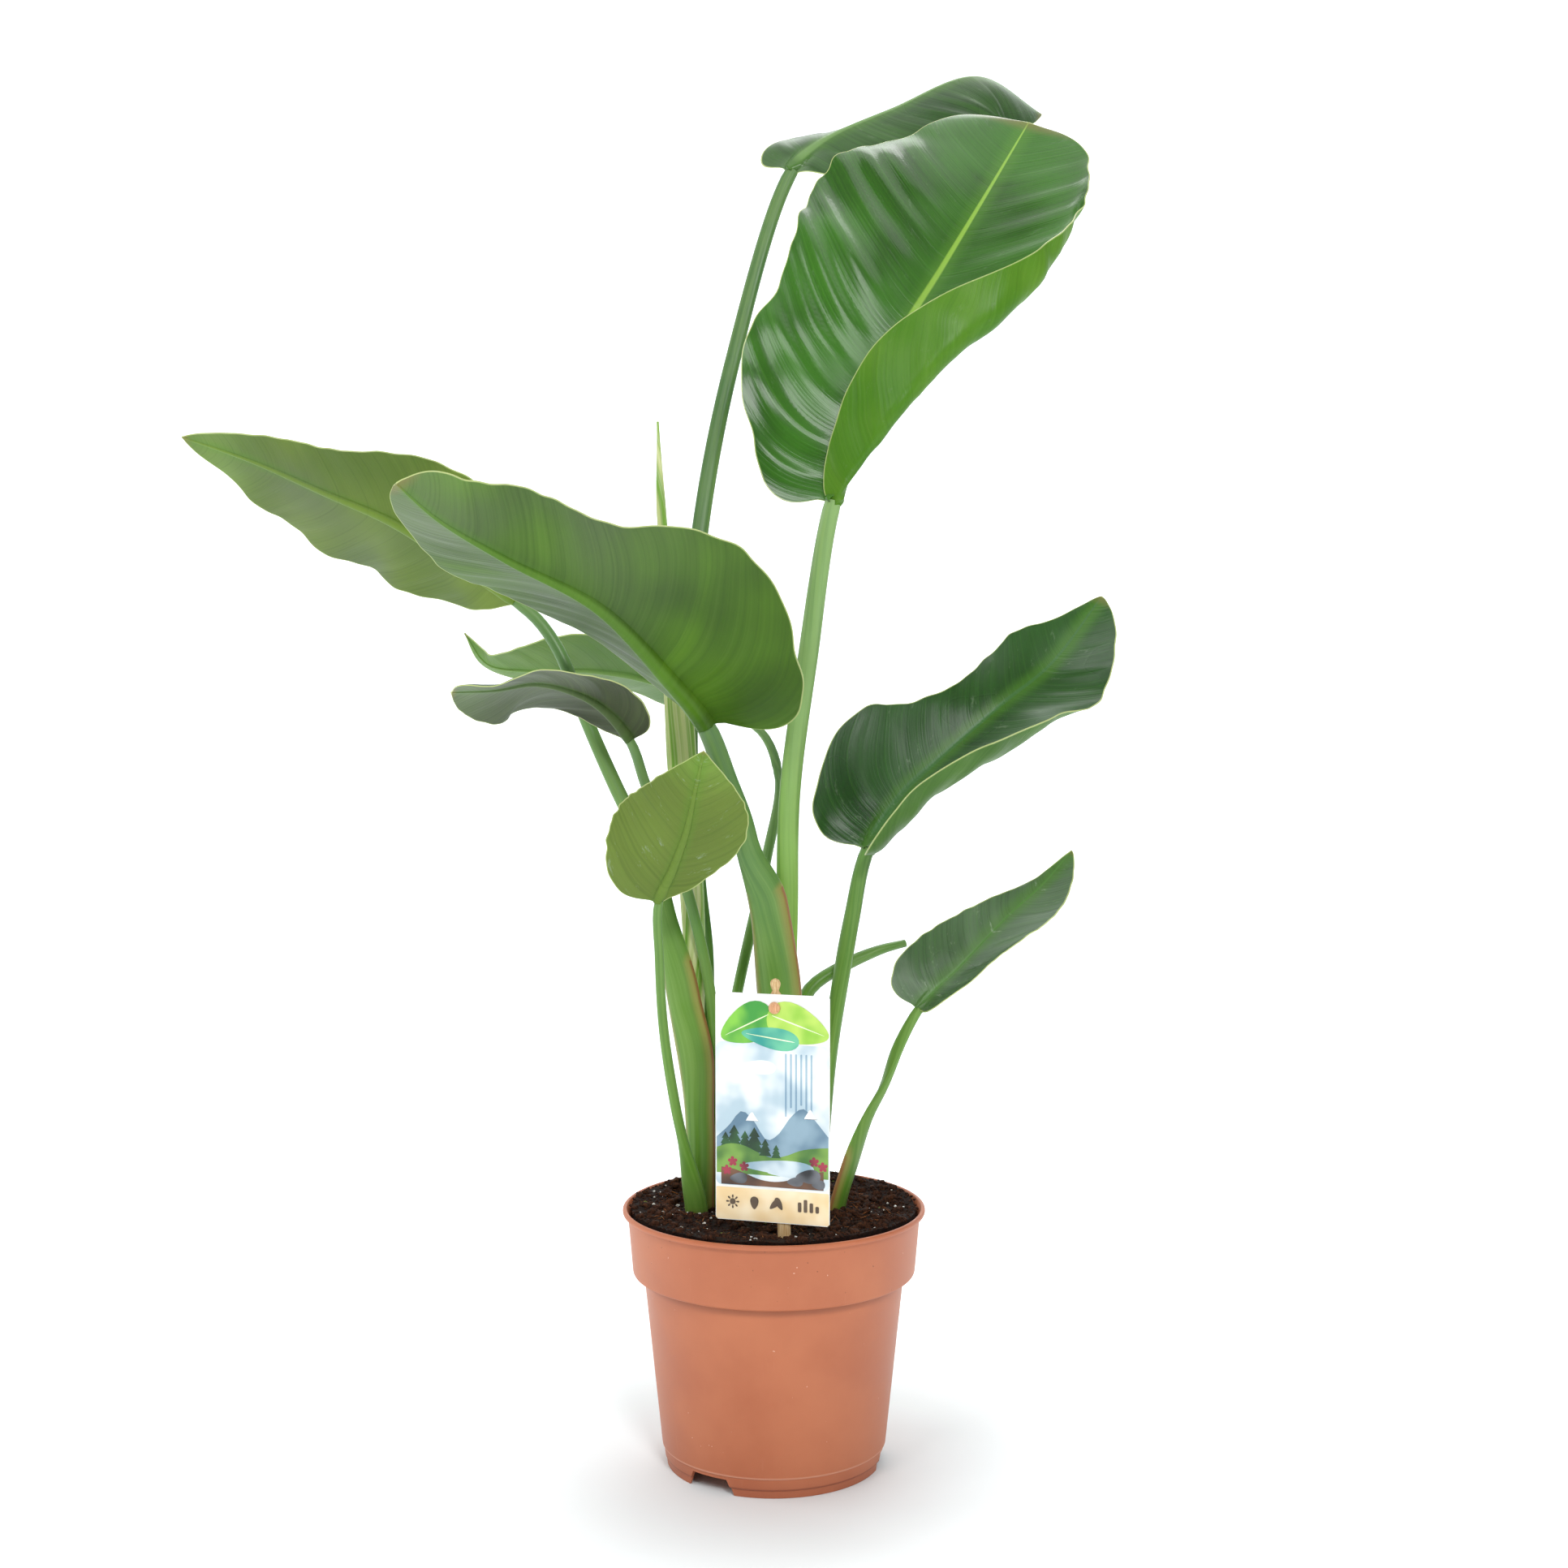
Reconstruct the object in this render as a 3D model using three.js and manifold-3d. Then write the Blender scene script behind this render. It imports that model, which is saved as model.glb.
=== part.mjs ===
// A potted bird of paradise: nine open leaves, a rolled spear and a cut stalk grow from three
// shoots in a round plastic nursery pot, with a hanging plant label pinned to a wooden stake.
// Millimetres, +Z up. The origin is the middle of the pot's foot, on the ground. The front is -Y.

import * as THREE from 'three';
import { mergeVertices } from 'three/addons/utils/BufferGeometryUtils.js';
import Module from 'manifold-3d';

const wasm = await Module();
wasm.setup();

// Driving sizes of the pot and what fills it
const RIM_RADIUS = 105;
const POT_HEIGHT = 180;
const POT_WALL = 1.6;
const LIP_HEIGHT = 3.6;
const COLLAR_TOP_RADIUS = 101.5;
const COLLAR_FOOT_RADIUS = 98;
const COLLAR_FOOT = 135;
const BODY_TOP_RADIUS = 90.3;
const BODY_TOP = 132.5;
const BODY_FOOT_RADIUS = 78;
const LEDGE_HEIGHT = 14;
const SKIRT_RADIUS = 74.8;
const SKIRT_HEIGHT = 5.4;
const FLOOR_HEIGHT = 13;
const BOSS_RADIUS = 30;
const POT_SIDES = 32;
const DRAIN_COUNT = 8;
const DRAIN_RADIUS = 5;
const DRAIN_CIRCLE = 54;
const NOTCH_COUNT = 3;
const NOTCH_FIRST_ANGLE = -125;
const NOTCH_WIDTH = 38;
const NOTCH_HEIGHT = 11;
const SOIL_LEVEL = 177;
const SOIL_MOUND = 2.5;
const GAP = 0.35;

// Driving sizes of the plant
const STALK_FOOT = 140;
const HOLE_TOP = 182;
const HOLE_ROOM = 0.7;
const STALK_SIDES = 10;
const STALK_STEP = 38;
const BLADE_THICKNESS = 1;
const RIB_END = 0.8;
const BLADE_COLUMNS = 5;
const TIP_WIDTH = 1.4;
const ROLL_SHARE = 0.3;
const JOINT_GAP = 0.3;
const SECTION_STEPS = 24;

// Driving sizes of the plant label
const PEG_PLACE = [1, -76.5, 331.5];
const LABEL_TURN = -16.3;
const CARD_LEFT = -41;
const CARD_RIGHT = 37.5;
const CARD_BOTTOM = -143.5;
const CARD_TOP = 9;
const CARD_THICKNESS = 0.8;
const STAKE_TILT = 2.1;
const STAKE_RADIUS = 4.5;
const STAKE_DEPTH = 0.5;
const STAKE_BOTTOM = -215;
const KNOB_RADIUS = 3.7;
const KNOB_HEIGHT = 15.5;
const PEG_RADIUS = 1.6;
const PEG_HEAD_RADIUS = 4;
const PEG_ROOM = 0.35;

// Each leaf is a route of points from the foot of its stalk to the tip of its blade, with the
// number of the point where the blade begins. section rows are: distance along the stalk, half
// width to the left and right, half depth, and how deep the side that faces the shoot's middle
// is hollowed, from 0 for round to 0.8 for a thin sheath. opens is where that side looks. face is
// where the blade's upper side looks, from base to tip. Each half has its widest width, what it is
// multiplied by from base to tip, and the angles at which it leaves the rib, bends on the way out
// and curls at its margin. wave is the margin's height, number of waves and where they start. A
// half that is rolled over turns by the angles in roll, at the share of its width given by hinge.
// lobe is how far the left and right half reach back past the base, and sweep forward to the tip.
const LEAVES = [
  {
    name: 'leaf_1', joint: 9, rows: 15, opens: [0.1, -1, 0],
    route: [
      [-52, 13, 140], [-52, 13, 176], [-49, 16, 265], [-48, 22, 349], [-54, 32, 402],
      [-60, 48, 482], [-59, 62, 565], [-53, 84, 653], [-30.5, 120, 776], [12, 150, 917],
      [34, 156, 941], [88, 168, 968], [154, 188, 996], [204, 206, 972],
    ],
    section: [
      [0, 5, 5, 5, 0], [60, 5, 5, 5, 0.1], [300, 6.3, 6.3, 5, 0.2], [800, 5.8, 5.8, 4.5, 0.1],
    ],
    face: [[-0.5, -0.8, 0.3], [-0.1, -0.3, 0.9], [0.1, 0, 0.95], [0.3, 0, 0.9], [0.6, 0, 0.7]],
    shape: [0.42, 0.7], lobe: [1, 0.6], sweep: 0.25,
    left: {
      width: 62, by: [0.85, 0.68, 0.62, 0.6, 0.62, 0.85, 1.5, 2.8, 5], fold: [15, -15, -18, -20],
      cup: [0, -20, -30], curl: [0, 0], wave: [3, 2, 0.1],
    },
    right: {
      width: 72, by: [0.3, 0.75, 1, 1.1, 1.4], fold: [0, -35, -35, -20], cup: [-20, -35, -40],
      curl: [0, 0], wave: [3, 2, 0.4],
    },
  },
  {
    name: 'leaf_2', joint: 6, rows: 19, columns: 7, opens: [0.3, -1, 0],
    route: [
      [4, 3, 140], [4, 3, 176], [6, 3, 285], [9, 1, 382], [11, -2, 467], [23, -4, 559],
      [40, -5, 665], [59, -2, 714], [83, 15, 774], [116, 42, 829], [148, 72, 883], [184, 112, 945],
    ],
    section: [[0, 7, 7, 6, 0], [200, 8, 8, 6.5, 0.1], [400, 7, 7, 6, 0.15], [560, 6, 6, 5, 0.1]],
    face: [[-0.35, -0.85, 0.3], [-0.3, -0.87, 0.4], [-0.25, -0.87, 0.45], [-0.1, -0.85, 0.5]],
    shape: [0.42, 0.4], lobe: [0.85, 0.3], sweep: 0.25,
    left: {
      width: 118, by: [0.75, 0.8, 0.99, 0.92, 1.02, 1.15, 1.16, 1.02, 1.1], fold: [5, 5, 0],
      cup: [10, -10, -25], curl: [0, 0], wave: [3.5, 4, 0.3],
    },
    right: {
      width: 108, by: [0.5, 0.74, 0.99, 1.02, 0.96, 0.88, 0.8, 0.77, 0.9], fold: [20, 5, 0, 0, 0],
      cup: [10, 10, 10, 0, -10], curl: [0, 0], roll: [160, 168, 120, 65, 0],
      hinge: [0.36, 0.45, 0.76, 0.88, 0.95], wave: [0, 1, 0],
    },
  },
  {
    name: 'leaf_3', joint: 8, rows: 18, opens: [0.1, 1, 0],
    route: [
      [4, 0, 140], [4, 0, 176], [4, -1, 259], [0, -4, 333], [-9, -12, 397], [-17, -19, 429],
      [-22.5, -22, 452], [-31, -25, 476], [-45, -30, 514], [-70, -50, 547], [-113, -85, 593],
      [-168, -120, 623], [-207, -140, 647], [-231, -152, 669],
    ],
    section: [
      [0, 13, 13, 11, 0.8], [100, 15, 14, 12, 0.8], [190, 19, 12, 12, 0.82],
      [255, 18, 9, 10.5, 0.75], [300, 8.5, 8.5, 8, 0.2], [400, 7, 7, 6.5, 0.1],
    ],
    face: [[0.3, 0.7, 0.5], [0.2, 0.6, 0.7], [0.1, 0.6, 0.8], [0, 0.5, 0.85]],
    shape: [0.42, 0.55], lobe: [1.05, 0.4], sweep: 0.25,
    left: {
      width: 78, by: [1.3, 1.27, 1.4, 1.17, 0.8, 0.76, 0.8, 0.86, 1.2], fold: [5, 20, 20, 20, 10],
      cup: [10, 0, 0, 0, -20], curl: [0, 0], wave: [2.5, 3, 0.2],
    },
    right: {
      width: 76, by: [1, 1], fold: [45, 32, 25, 20, 20], cup: [0, -5, -10, 0, 0], curl: [0, 0],
      wave: [2.5, 3, 0.6],
    },
  },
  {
    name: 'leaf_4', joint: 12, rows: 17, opens: [0.3, 0.95, 0],
    route: [
      [-52, -2, 140], [-52, -2, 176], [-51.5, -3, 237], [-56, -2, 287], [-65, -1, 326],
      [-72, 0, 370], [-79, 3, 409], [-92, 7, 437], [-109, 14, 470], [-132, 22, 521],
      [-149, 30, 563], [-164, 35, 585], [-180, 38, 599], [-225, 46, 628], [-270, 55, 655],
      [-319, 64, 676], [-372, 72, 699], [-424, 80, 717],
    ],
    section: [
      [0, 11, 9, 7, 0.8], [100, 11, 10, 7.5, 0.8], [150, 15, 11.5, 8, 0.82], [190, 15, 9, 8, 0.8],
      [262, 5.5, 5.5, 6, 0.3], [480, 4.5, 4.5, 4.5, 0.1],
    ],
    face: [[0, 0.7, 0.7], [-0.1, 0.65, 0.75], [-0.1, 0.65, 0.75], [-0.1, 0.65, 0.75]],
    shape: [0.45, 0.85], lobe: [0.4, 0.4], sweep: 0.25,
    left: {
      width: 54, by: [1.25, 1.2, 0.84, 0.74, 0.9], fold: [15, 15, 10], cup: [10, 5, 0],
      curl: [0, 0], wave: [2, 3, 0.1],
    },
    right: {
      width: 62, by: [0.35, 0.96, 1.2, 1.13, 1.15], fold: [5, 5, 0], cup: [0, 0, 0], curl: [0, 0],
      wave: [3.5, 4.5, 0.3],
    },
  },
  {
    name: 'leaf_5', joint: 8, rows: 11, opens: [0.5, 0.85, 0],
    route: [
      [-41, 1.5, 140], [-41, 1.5, 176], [-40, 1, 240], [-41, 0, 290], [-44, -2, 330],
      [-52, -4, 372], [-66, -8, 422], [-87, -14, 474], [-97, -20, 504], [-116, -24, 527],
      [-136, -30, 538], [-159, -36, 543], [-186, -42, 539], [-214, -49, 538],
    ],
    section: [[0, 4, 4, 4, 0], [60, 4, 4, 4, 0.1], [300, 4, 4, 4, 0.15], [380, 3.5, 3.5, 3.5, 0.1]],
    face: [[0.2, 0.65, 0.7], [0, 0.45, 0.9], [-0.1, 0.35, 0.95], [-0.1, 0.3, 0.95]],
    shape: [0.42, 0.62], lobe: [0.5, 0.5], sweep: 0.25,
    left: {
      width: 50, by: [0.7, 0.8, 0.85, 0.9, 2.4], fold: [10, 0, 0], cup: [0, -20, -20],
      curl: [0, 0], wave: [2, 2, 0.1],
    },
    right: {
      width: 46, by: [0.3, 0.7, 1.15, 1.5, 1.4], fold: [15, 5, 0], cup: [0, -10, -20],
      curl: [0, 0], wave: [2, 2, 0.4],
    },
  },
  {
    name: 'leaf_6', joint: 7, rows: 11, opens: [-0.5, -0.8, 0],
    route: [
      [-42.5, 11, 140], [-42.5, 11, 176], [-38, 24, 262], [-26, 40, 324], [-6, 58, 415],
      [3, 76, 472], [-8, 88, 504], [-38, 98, 522], [-91, 106, 542], [-135, 111, 549],
      [-182, 116, 549], [-212, 119, 554], [-229, 121, 577],
    ],
    section: [[0, 4, 4, 4, 0], [60, 4, 4, 4, 0.1], [300, 4, 4, 4, 0.15], [420, 3, 3, 3, 0.1]],
    face: [[0, 0.6, 0.7], [0, 0.5, 0.8], [0, 0.5, 0.85]],
    shape: [0.45, 0.9], lobe: [0.5, 0.5], sweep: 0.25,
    left: {
      width: 36, by: [1, 1, 1.15, 1.2, 0.8], fold: [10, 10, 0], cup: [0, 0, 0], curl: [0, 0],
      wave: [2, 2, 0.2],
    },
    right: {
      width: 36, by: [1, 1, 0.95, 0.8, 0.5], fold: [10, 10, 0], cup: [0, 0, 0], curl: [0, 0],
      wave: [2, 2, 0.5],
    },
  },
  {
    name: 'leaf_7', joint: 6, rows: 10, opens: [0.2, 1, 0],
    route: [
      [-53, -12.5, 140], [-53, -12.5, 176], [-58.5, -20, 212], [-67, -32, 258], [-74, -45, 313],
      [-76, -56, 362], [-76, -62, 399], [-66, -68, 422], [-57, -74, 447], [-51, -78, 474],
      [-45, -80, 501],
    ],
    section: [
      [0, 9, 9, 3.5, 0.3], [45, 8, 8, 4, 0.4], [100, 3.6, 3.6, 3.6, 0.2], [265, 3, 3, 3, 0.1],
    ],
    face: [[0.1, 0.9, 0.3], [0.1, 0.9, 0.3]],
    shape: [0.45, 0.8], lobe: [0.5, 0.5], sweep: 0.25,
    left: {
      width: 43, by: [0.2, 0.58, 0.97, 1, 0.8], fold: [10, 5, 0], cup: [10, 10, 0], curl: [0, 0],
      wave: [2, 1.5, 0.2],
    },
    right: {
      width: 51, by: [1, 1.03, 0.95, 0.78, 0.6], fold: [10, 5, 0], cup: [10, 10, 0], curl: [0, 0],
      wave: [2, 1.5, 0.6],
    },
  },
  {
    name: 'leaf_8', joint: 6, rows: 16, opens: [-0.8, -0.5, 0],
    route: [
      [30, 4, 140], [30, 4, 176], [34, 6, 245], [38, 8, 285], [44, 10, 324], [54, 14, 379],
      [65, 18, 426], [89, 20, 465], [113, 22, 488], [159, 32, 527], [195, 45, 555], [233, 60, 603],
    ],
    section: [[0, 7, 7, 6, 0], [100, 7, 7, 6, 0.15], [200, 6.5, 6.5, 6, 0.15], [300, 5, 5, 5, 0.1]],
    face: [[-0.4, -0.8, 0.3], [-0.3, -0.75, 0.6], [-0.3, -0.75, 0.6], [-0.3, -0.75, 0.6]],
    shape: [0.42, 0.62], lobe: [0.6, 0.6], sweep: 0.25,
    left: {
      width: 54, by: [1.35, 1.36, 1.48, 0.92, 0.74, 0.92, 1.08, 0.76, 0.6], fold: [5, 5, 0],
      cup: [10, -10, -15], curl: [0, 0], wave: [2.5, 2.5, 0.2],
    },
    right: {
      width: 66, by: [1, 1.24, 1.22, 0.92, 0.9], fold: [15, 12, 5, 0, 0], cup: [80, 60, 35, 0, 0],
      curl: [40, 40, 40, 0, 0], wave: [2, 3, 0.5],
    },
  },
  {
    name: 'leaf_9', joint: 6, rows: 11, opens: [-0.9, 0.4, 0],
    route: [
      [41, -5, 140], [41, -5, 176], [50, -7, 210], [62, -6, 241], [75, -4, 266], [87, -2, 294],
      [100, 0, 317], [112, 2, 331], [127, 6, 344], [162, 14, 379], [188, 20, 402], [209, 28, 425],
    ],
    section: [
      [0, 12, 10.5, 7.5, 0.75], [70, 11.5, 9.5, 7.5, 0.7], [120, 5.5, 5.5, 5, 0.4],
      [205, 3.2, 3.2, 3.2, 0],
    ],
    face: [[-0.3, -0.8, 0.4], [-0.3, -0.7, 0.6], [-0.3, -0.7, 0.6]],
    shape: [0.42, 0.62], lobe: [0.5, 0.5], sweep: 0.25,
    left: {
      width: 34, by: [1.4, 1.22, 0.76, 0.45, 0.2], fold: [5, 5, 0], cup: [0, -10, -10],
      curl: [0, 0], wave: [1.5, 2, 0.2],
    },
    right: {
      width: 33, by: [1, 1.12, 1.24, 1.2, 0.8], fold: [30, 20, 5], cup: [40, 20, 0], curl: [0, 0],
      wave: [1.5, 2, 0.5],
    },
  },
];

// Stalks without an open blade
const BARE_STALKS = [
  {
    name: 'spear', opens: [0.3, -0.95, 0],
    route: [
      [-50.5, 3, 140], [-50.5, 3, 176], [-53, 4, 285], [-57, 10, 397], [-64, 20, 485],
      [-69, 28, 566], [-78, 35, 656], [-81, 40, 724],
    ],
    section: [
      [0, 4.5, 4.5, 4.5, 0], [150, 5.5, 5.5, 5, 0], [260, 8.5, 8.5, 6, 0], [350, 10.5, 10.5, 7, 0],
      [395, 10, 10, 7, 0], [440, 7, 7, 5, 0], [520, 3.5, 3.5, 3, 0], [590, 0.8, 0.8, 0.8, 0],
    ],
  },
  {
    name: 'cut_stalk', opens: [-0.5, -0.2, 0.8],
    route: [
      [13, 14, 140], [13, 14, 176], [12, 15, 248], [14, 18, 296], [24, 22, 327], [48, 30, 343],
      [75, 36, 354], [93, 40, 358],
    ],
    section: [
      [0, 5, 5, 5, 0], [150, 6, 6, 5.5, 0.1], [225, 5.2, 5.2, 4.8, 0.1], [275, 3, 3, 2.8, 0.1],
    ],
  },
];

// Each shoot's rootstock: the middle of its crown, the crown's half widths, and where roots go
const ROOTSTOCKS = [
  { name: 'rootstock_left', place: [-49.5, 0.5], half: [15, 19], roots: [150, 215, 280] },
  { name: 'rootstock_middle', place: [5, 3], half: [16, 18], roots: [85, 200, 275] },
  { name: 'rootstock_right', place: [38, 1], half: [14, 15], roots: [-60, 10, 75] },
];
const CROWN_DEPTH = 26;
const CROWN_RISE = 8;
const ROOT_RADIUS = 5;
const ROOT_SPREAD = 30;
const ROOT_FOOT = 45;
const ROOT_STEPS = 4;

// Colours
const TERRACOTTA = 0xc47a5c;
const PEAT = 0x35231a;
const ROOT_CREAM = 0xc9b58c;
const LEAF_GREEN = 0x3c7a2c;
const STALK_GREEN = 0x6f9a5c;
const SPEAR_GREEN = 0xb4c27a;
const CARD_WHITE = 0xf2f0ea;
const BARE_WOOD = 0xd9b98a;
const PEG_WOOD = 0xdfa878;

const plant = new THREE.Group();

function vector(point) {
  return new THREE.Vector3(...point);
}

function radians(degrees) {
  return THREE.MathUtils.degToRad(degrees);
}

function smooth(value) {
  const t = THREE.MathUtils.clamp(value, 0, 1);
  return t * t * (3 - 2 * t);
}

// Value of a smooth curve through evenly spaced stations, at u from 0 to 1
function mix(stations, u) {
  const last = stations.length - 1;
  const x = Math.min(Math.max(u * last, 0), last - 1e-9);
  const i = Math.floor(x);
  const t = x - i;
  const b = stations[i];
  const c = stations[i + 1];
  const a = i > 0 ? stations[i - 1] : 2 * b - c;
  const d = i + 2 <= last ? stations[i + 2] : 2 * c - b;
  return 0.5 * (2 * b + (c - a) * t + (2 * a - 5 * b + 4 * c - d) * t * t
    + (3 * b - a - 3 * c + d) * t ** 3);
}

function mixDirection(stations, u) {
  const parts = [0, 1, 2].map((axis) => mix(stations.map((s) => s[axis]), u));
  return vector(parts);
}

// Row of a table at a distance, between its two nearest rows
function rowAt(table, distance) {
  let k = 0;
  while (k < table.length - 2 && distance > table[k + 1][0]) k += 1;
  const [from, to] = [table[k], table[k + 1]];
  const t = smooth((distance - from[0]) / (to[0] - from[0]));
  return from.slice(1).map((value, n) => value + (to[n + 1] - value) * t);
}

// Turns a mesh the right way out when its volume comes out negative
function outward(geometry) {
  const place = geometry.getAttribute('position');
  const index = Array.from(geometry.getIndex().array);
  const [a, b, c] = [vector([0, 0, 0]), vector([0, 0, 0]), vector([0, 0, 0])];
  let volume = 0;
  for (let k = 0; k < index.length; k += 3) {
    a.fromBufferAttribute(place, index[k]);
    b.fromBufferAttribute(place, index[k + 1]);
    c.fromBufferAttribute(place, index[k + 2]);
    volume += a.dot(b.cross(c));
  }
  if (volume < 0) index.reverse();
  geometry.setIndex(index);
  return geometry;
}

// Skin over rings of points, closed at both ends. Where thin is true the rings run out along the
// upper side and back along the lower one, and both sides are split along the same diagonals.
function loft(rings, thin) {
  const count = rings[0].length;
  const positions = rings.flat().flatMap((p) => [p.x, p.y, p.z]);
  const index = [];
  for (let i = 0; i < rings.length - 1; i += 1) {
    for (let k = 0; k < count; k += 1) {
      const [a, b] = [i * count + k, i * count + ((k + 1) % count)];
      const [d, c] = [a + count, b + count];
      const lowerSide = thin && k >= count / 2;
      if (lowerSide) index.push(a, b, d, b, c, d);
      else index.push(a, b, c, a, c, d);
    }
  }
  const closeEnd = (start, turned) => {
    for (let k = 0; k < count / 2 - 1; k += 1) {
      const [a, b] = [start + k, start + k + 1];
      const [d, c] = [start + count - 1 - k, start + count - 2 - k];
      if (turned) index.push(a, b, c, a, c, d);
      else index.push(a, c, b, a, d, c);
    }
  };
  closeEnd(0, false);
  closeEnd((rings.length - 1) * count, true);
  const geometry = new THREE.BufferGeometry();
  geometry.setAttribute('position', new THREE.Float32BufferAttribute(positions, 3));
  geometry.setIndex(index);
  return outward(mergeVertices(geometry, 1e-3));
}

function solidOf(geometry) {
  const plain = geometry.clone();
  plain.deleteAttribute('normal');
  plain.deleteAttribute('uv');
  const merged = outward(mergeVertices(plain, 1e-3));
  return new wasm.Manifold(new wasm.Mesh({
    numProp: 3,
    vertProperties: new Float32Array(merged.getAttribute('position').array),
    triVerts: new Uint32Array(merged.getIndex().array),
  }));
}

function geometryOf(solid) {
  const { vertProperties, triVerts } = solid.getMesh();
  const geometry = new THREE.BufferGeometry();
  geometry.setAttribute('position', new THREE.BufferAttribute(vertProperties, 3));
  geometry.setIndex(new THREE.BufferAttribute(triVerts, 1));
  return geometry;
}

function add(name, geometry, color, roughness, parent = plant) {
  const material = new THREE.MeshStandardMaterial({ color, roughness, metalness: 0 });
  const mesh = new THREE.Mesh(geometry, material);
  mesh.name = name;
  parent.add(mesh);
  return mesh;
}

// The route of a stalk and its blade, with the distance where the blade begins
function routeOf(piece) {
  const curve = new THREE.CatmullRomCurve3(piece.route.map(vector), false, 'centripetal');
  const pieces = 60;
  const segments = piece.route.length - 1;
  curve.arcLengthDivisions = pieces * segments;
  const lengths = curve.getLengths(pieces * segments);
  const total = lengths[lengths.length - 1];
  const joint = piece.joint ? lengths[piece.joint * pieces] : total;
  return { curve, total, joint };
}

// Axes across a route: along it, towards the side that looks at the given direction, and sideways
function axesAt(route, distance, direction) {
  const along = route.curve.getTangentAt(THREE.MathUtils.clamp(distance / route.total, 0, 1));
  const facing = direction.clone().addScaledVector(along, -direction.dot(along)).normalize();
  const sideways = along.clone().cross(facing);
  return { along, facing, sideways };
}

// Ring of points round a stalk. The outer side is half an ellipse and the inner one is hollowed.
function stalkRing(piece, route, distance, room) {
  const [left, right, depth, hollow] = rowAt(piece.section, distance);
  const opens = vector(piece.opens);
  const turn = smooth((distance / route.joint - 0.5) * 2);
  const direction = piece.face ? opens.lerp(vector(piece.face[0]), turn) : opens;
  const { facing, sideways } = axesAt(route, distance, direction);
  const middle = route.curve.getPointAt(Math.min(1, distance / route.total));
  const inner = room > 0 ? 1 : 1 - 2 * hollow;
  const ring = [];
  for (let k = 0; k < STALK_SIDES; k += 1) {
    const angle = (2 * Math.PI * k) / STALK_SIDES - Math.PI / 2;
    const across = Math.sin(angle);
    const width = (across < 0 ? left : right) + room;
    const height = -Math.cos(angle) * (depth + room) * (Math.cos(angle) < 0 ? inner : 1);
    ring.push(middle.clone().addScaledVector(sideways, width * across)
      .addScaledVector(facing, height));
  }
  return ring;
}

// A stalk, or with room its hole in the soil. Each hole is sunk a little deeper than the last.
function stalk(piece, room = 0, sink = 0) {
  const route = routeOf(piece);
  const buried = HOLE_TOP - STALK_FOOT;
  const end = room > 0 ? buried : route.joint;
  const steps = Math.round((end - buried) / STALK_STEP);
  const distances = [0, buried / 2, buried];
  for (let i = 1; i <= steps; i += 1) distances.push(buried + ((end - buried) * i) / steps);
  const rings = distances.map((distance) => stalkRing(piece, route, distance, room));
  for (const point of rings[0]) point.z -= sink;
  return loft(rings, false);
}

// Half of a blade's cross-section: reach, rise and angle from the rib to the margin, for width 1
function halfSection(half, u) {
  const fold = radians(mix(half.fold, u));
  const cup = radians(mix(half.cup, u));
  const curl = radians(mix(half.curl, u));
  const roll = half.roll ? radians(mix(half.roll, u)) : 0;
  const hinge = half.roll ? mix(half.hinge, u) : 0.5;
  const angleAt = (v) => fold + cup * v + curl * v ** 3
    + roll * smooth((v - hinge) / ROLL_SHARE + 0.5);
  const points = [{ reach: 0, rise: 0, angle: angleAt(0) }];
  let [reach, rise] = [0, 0];
  for (let k = 1; k <= SECTION_STEPS; k += 1) {
    const angle = angleAt((k - 0.5) / SECTION_STEPS);
    reach += Math.cos(angle) / SECTION_STEPS;
    rise += Math.sin(angle) / SECTION_STEPS;
    points.push({ reach, rise, angle: angleAt(k / SECTION_STEPS) });
  }
  return (v) => {
    const x = Math.min(v * SECTION_STEPS, SECTION_STEPS - 1e-9);
    const [from, to] = [points[Math.floor(x)], points[Math.floor(x) + 1]];
    const t = x - Math.floor(x);
    const between = (key) => from[key] + (to[key] - from[key]) * t;
    return { reach: between('reach'), rise: between('rise'), angle: between('angle') };
  };
}

// Width of half a blade: nothing at the ends, full where the two powers meet
function halfWidth(leaf, half, u, neck) {
  const [p, q] = leaf.shape;
  const peak = p / (p + q);
  const full = peak ** p * (1 - peak) ** q;
  const width = (half.width * mix(half.by, u) * u ** p * (1 - u) ** q) / full;
  return Math.max(width, neck * (1 - u) ** 8, TIP_WIDTH / 2);
}

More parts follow.
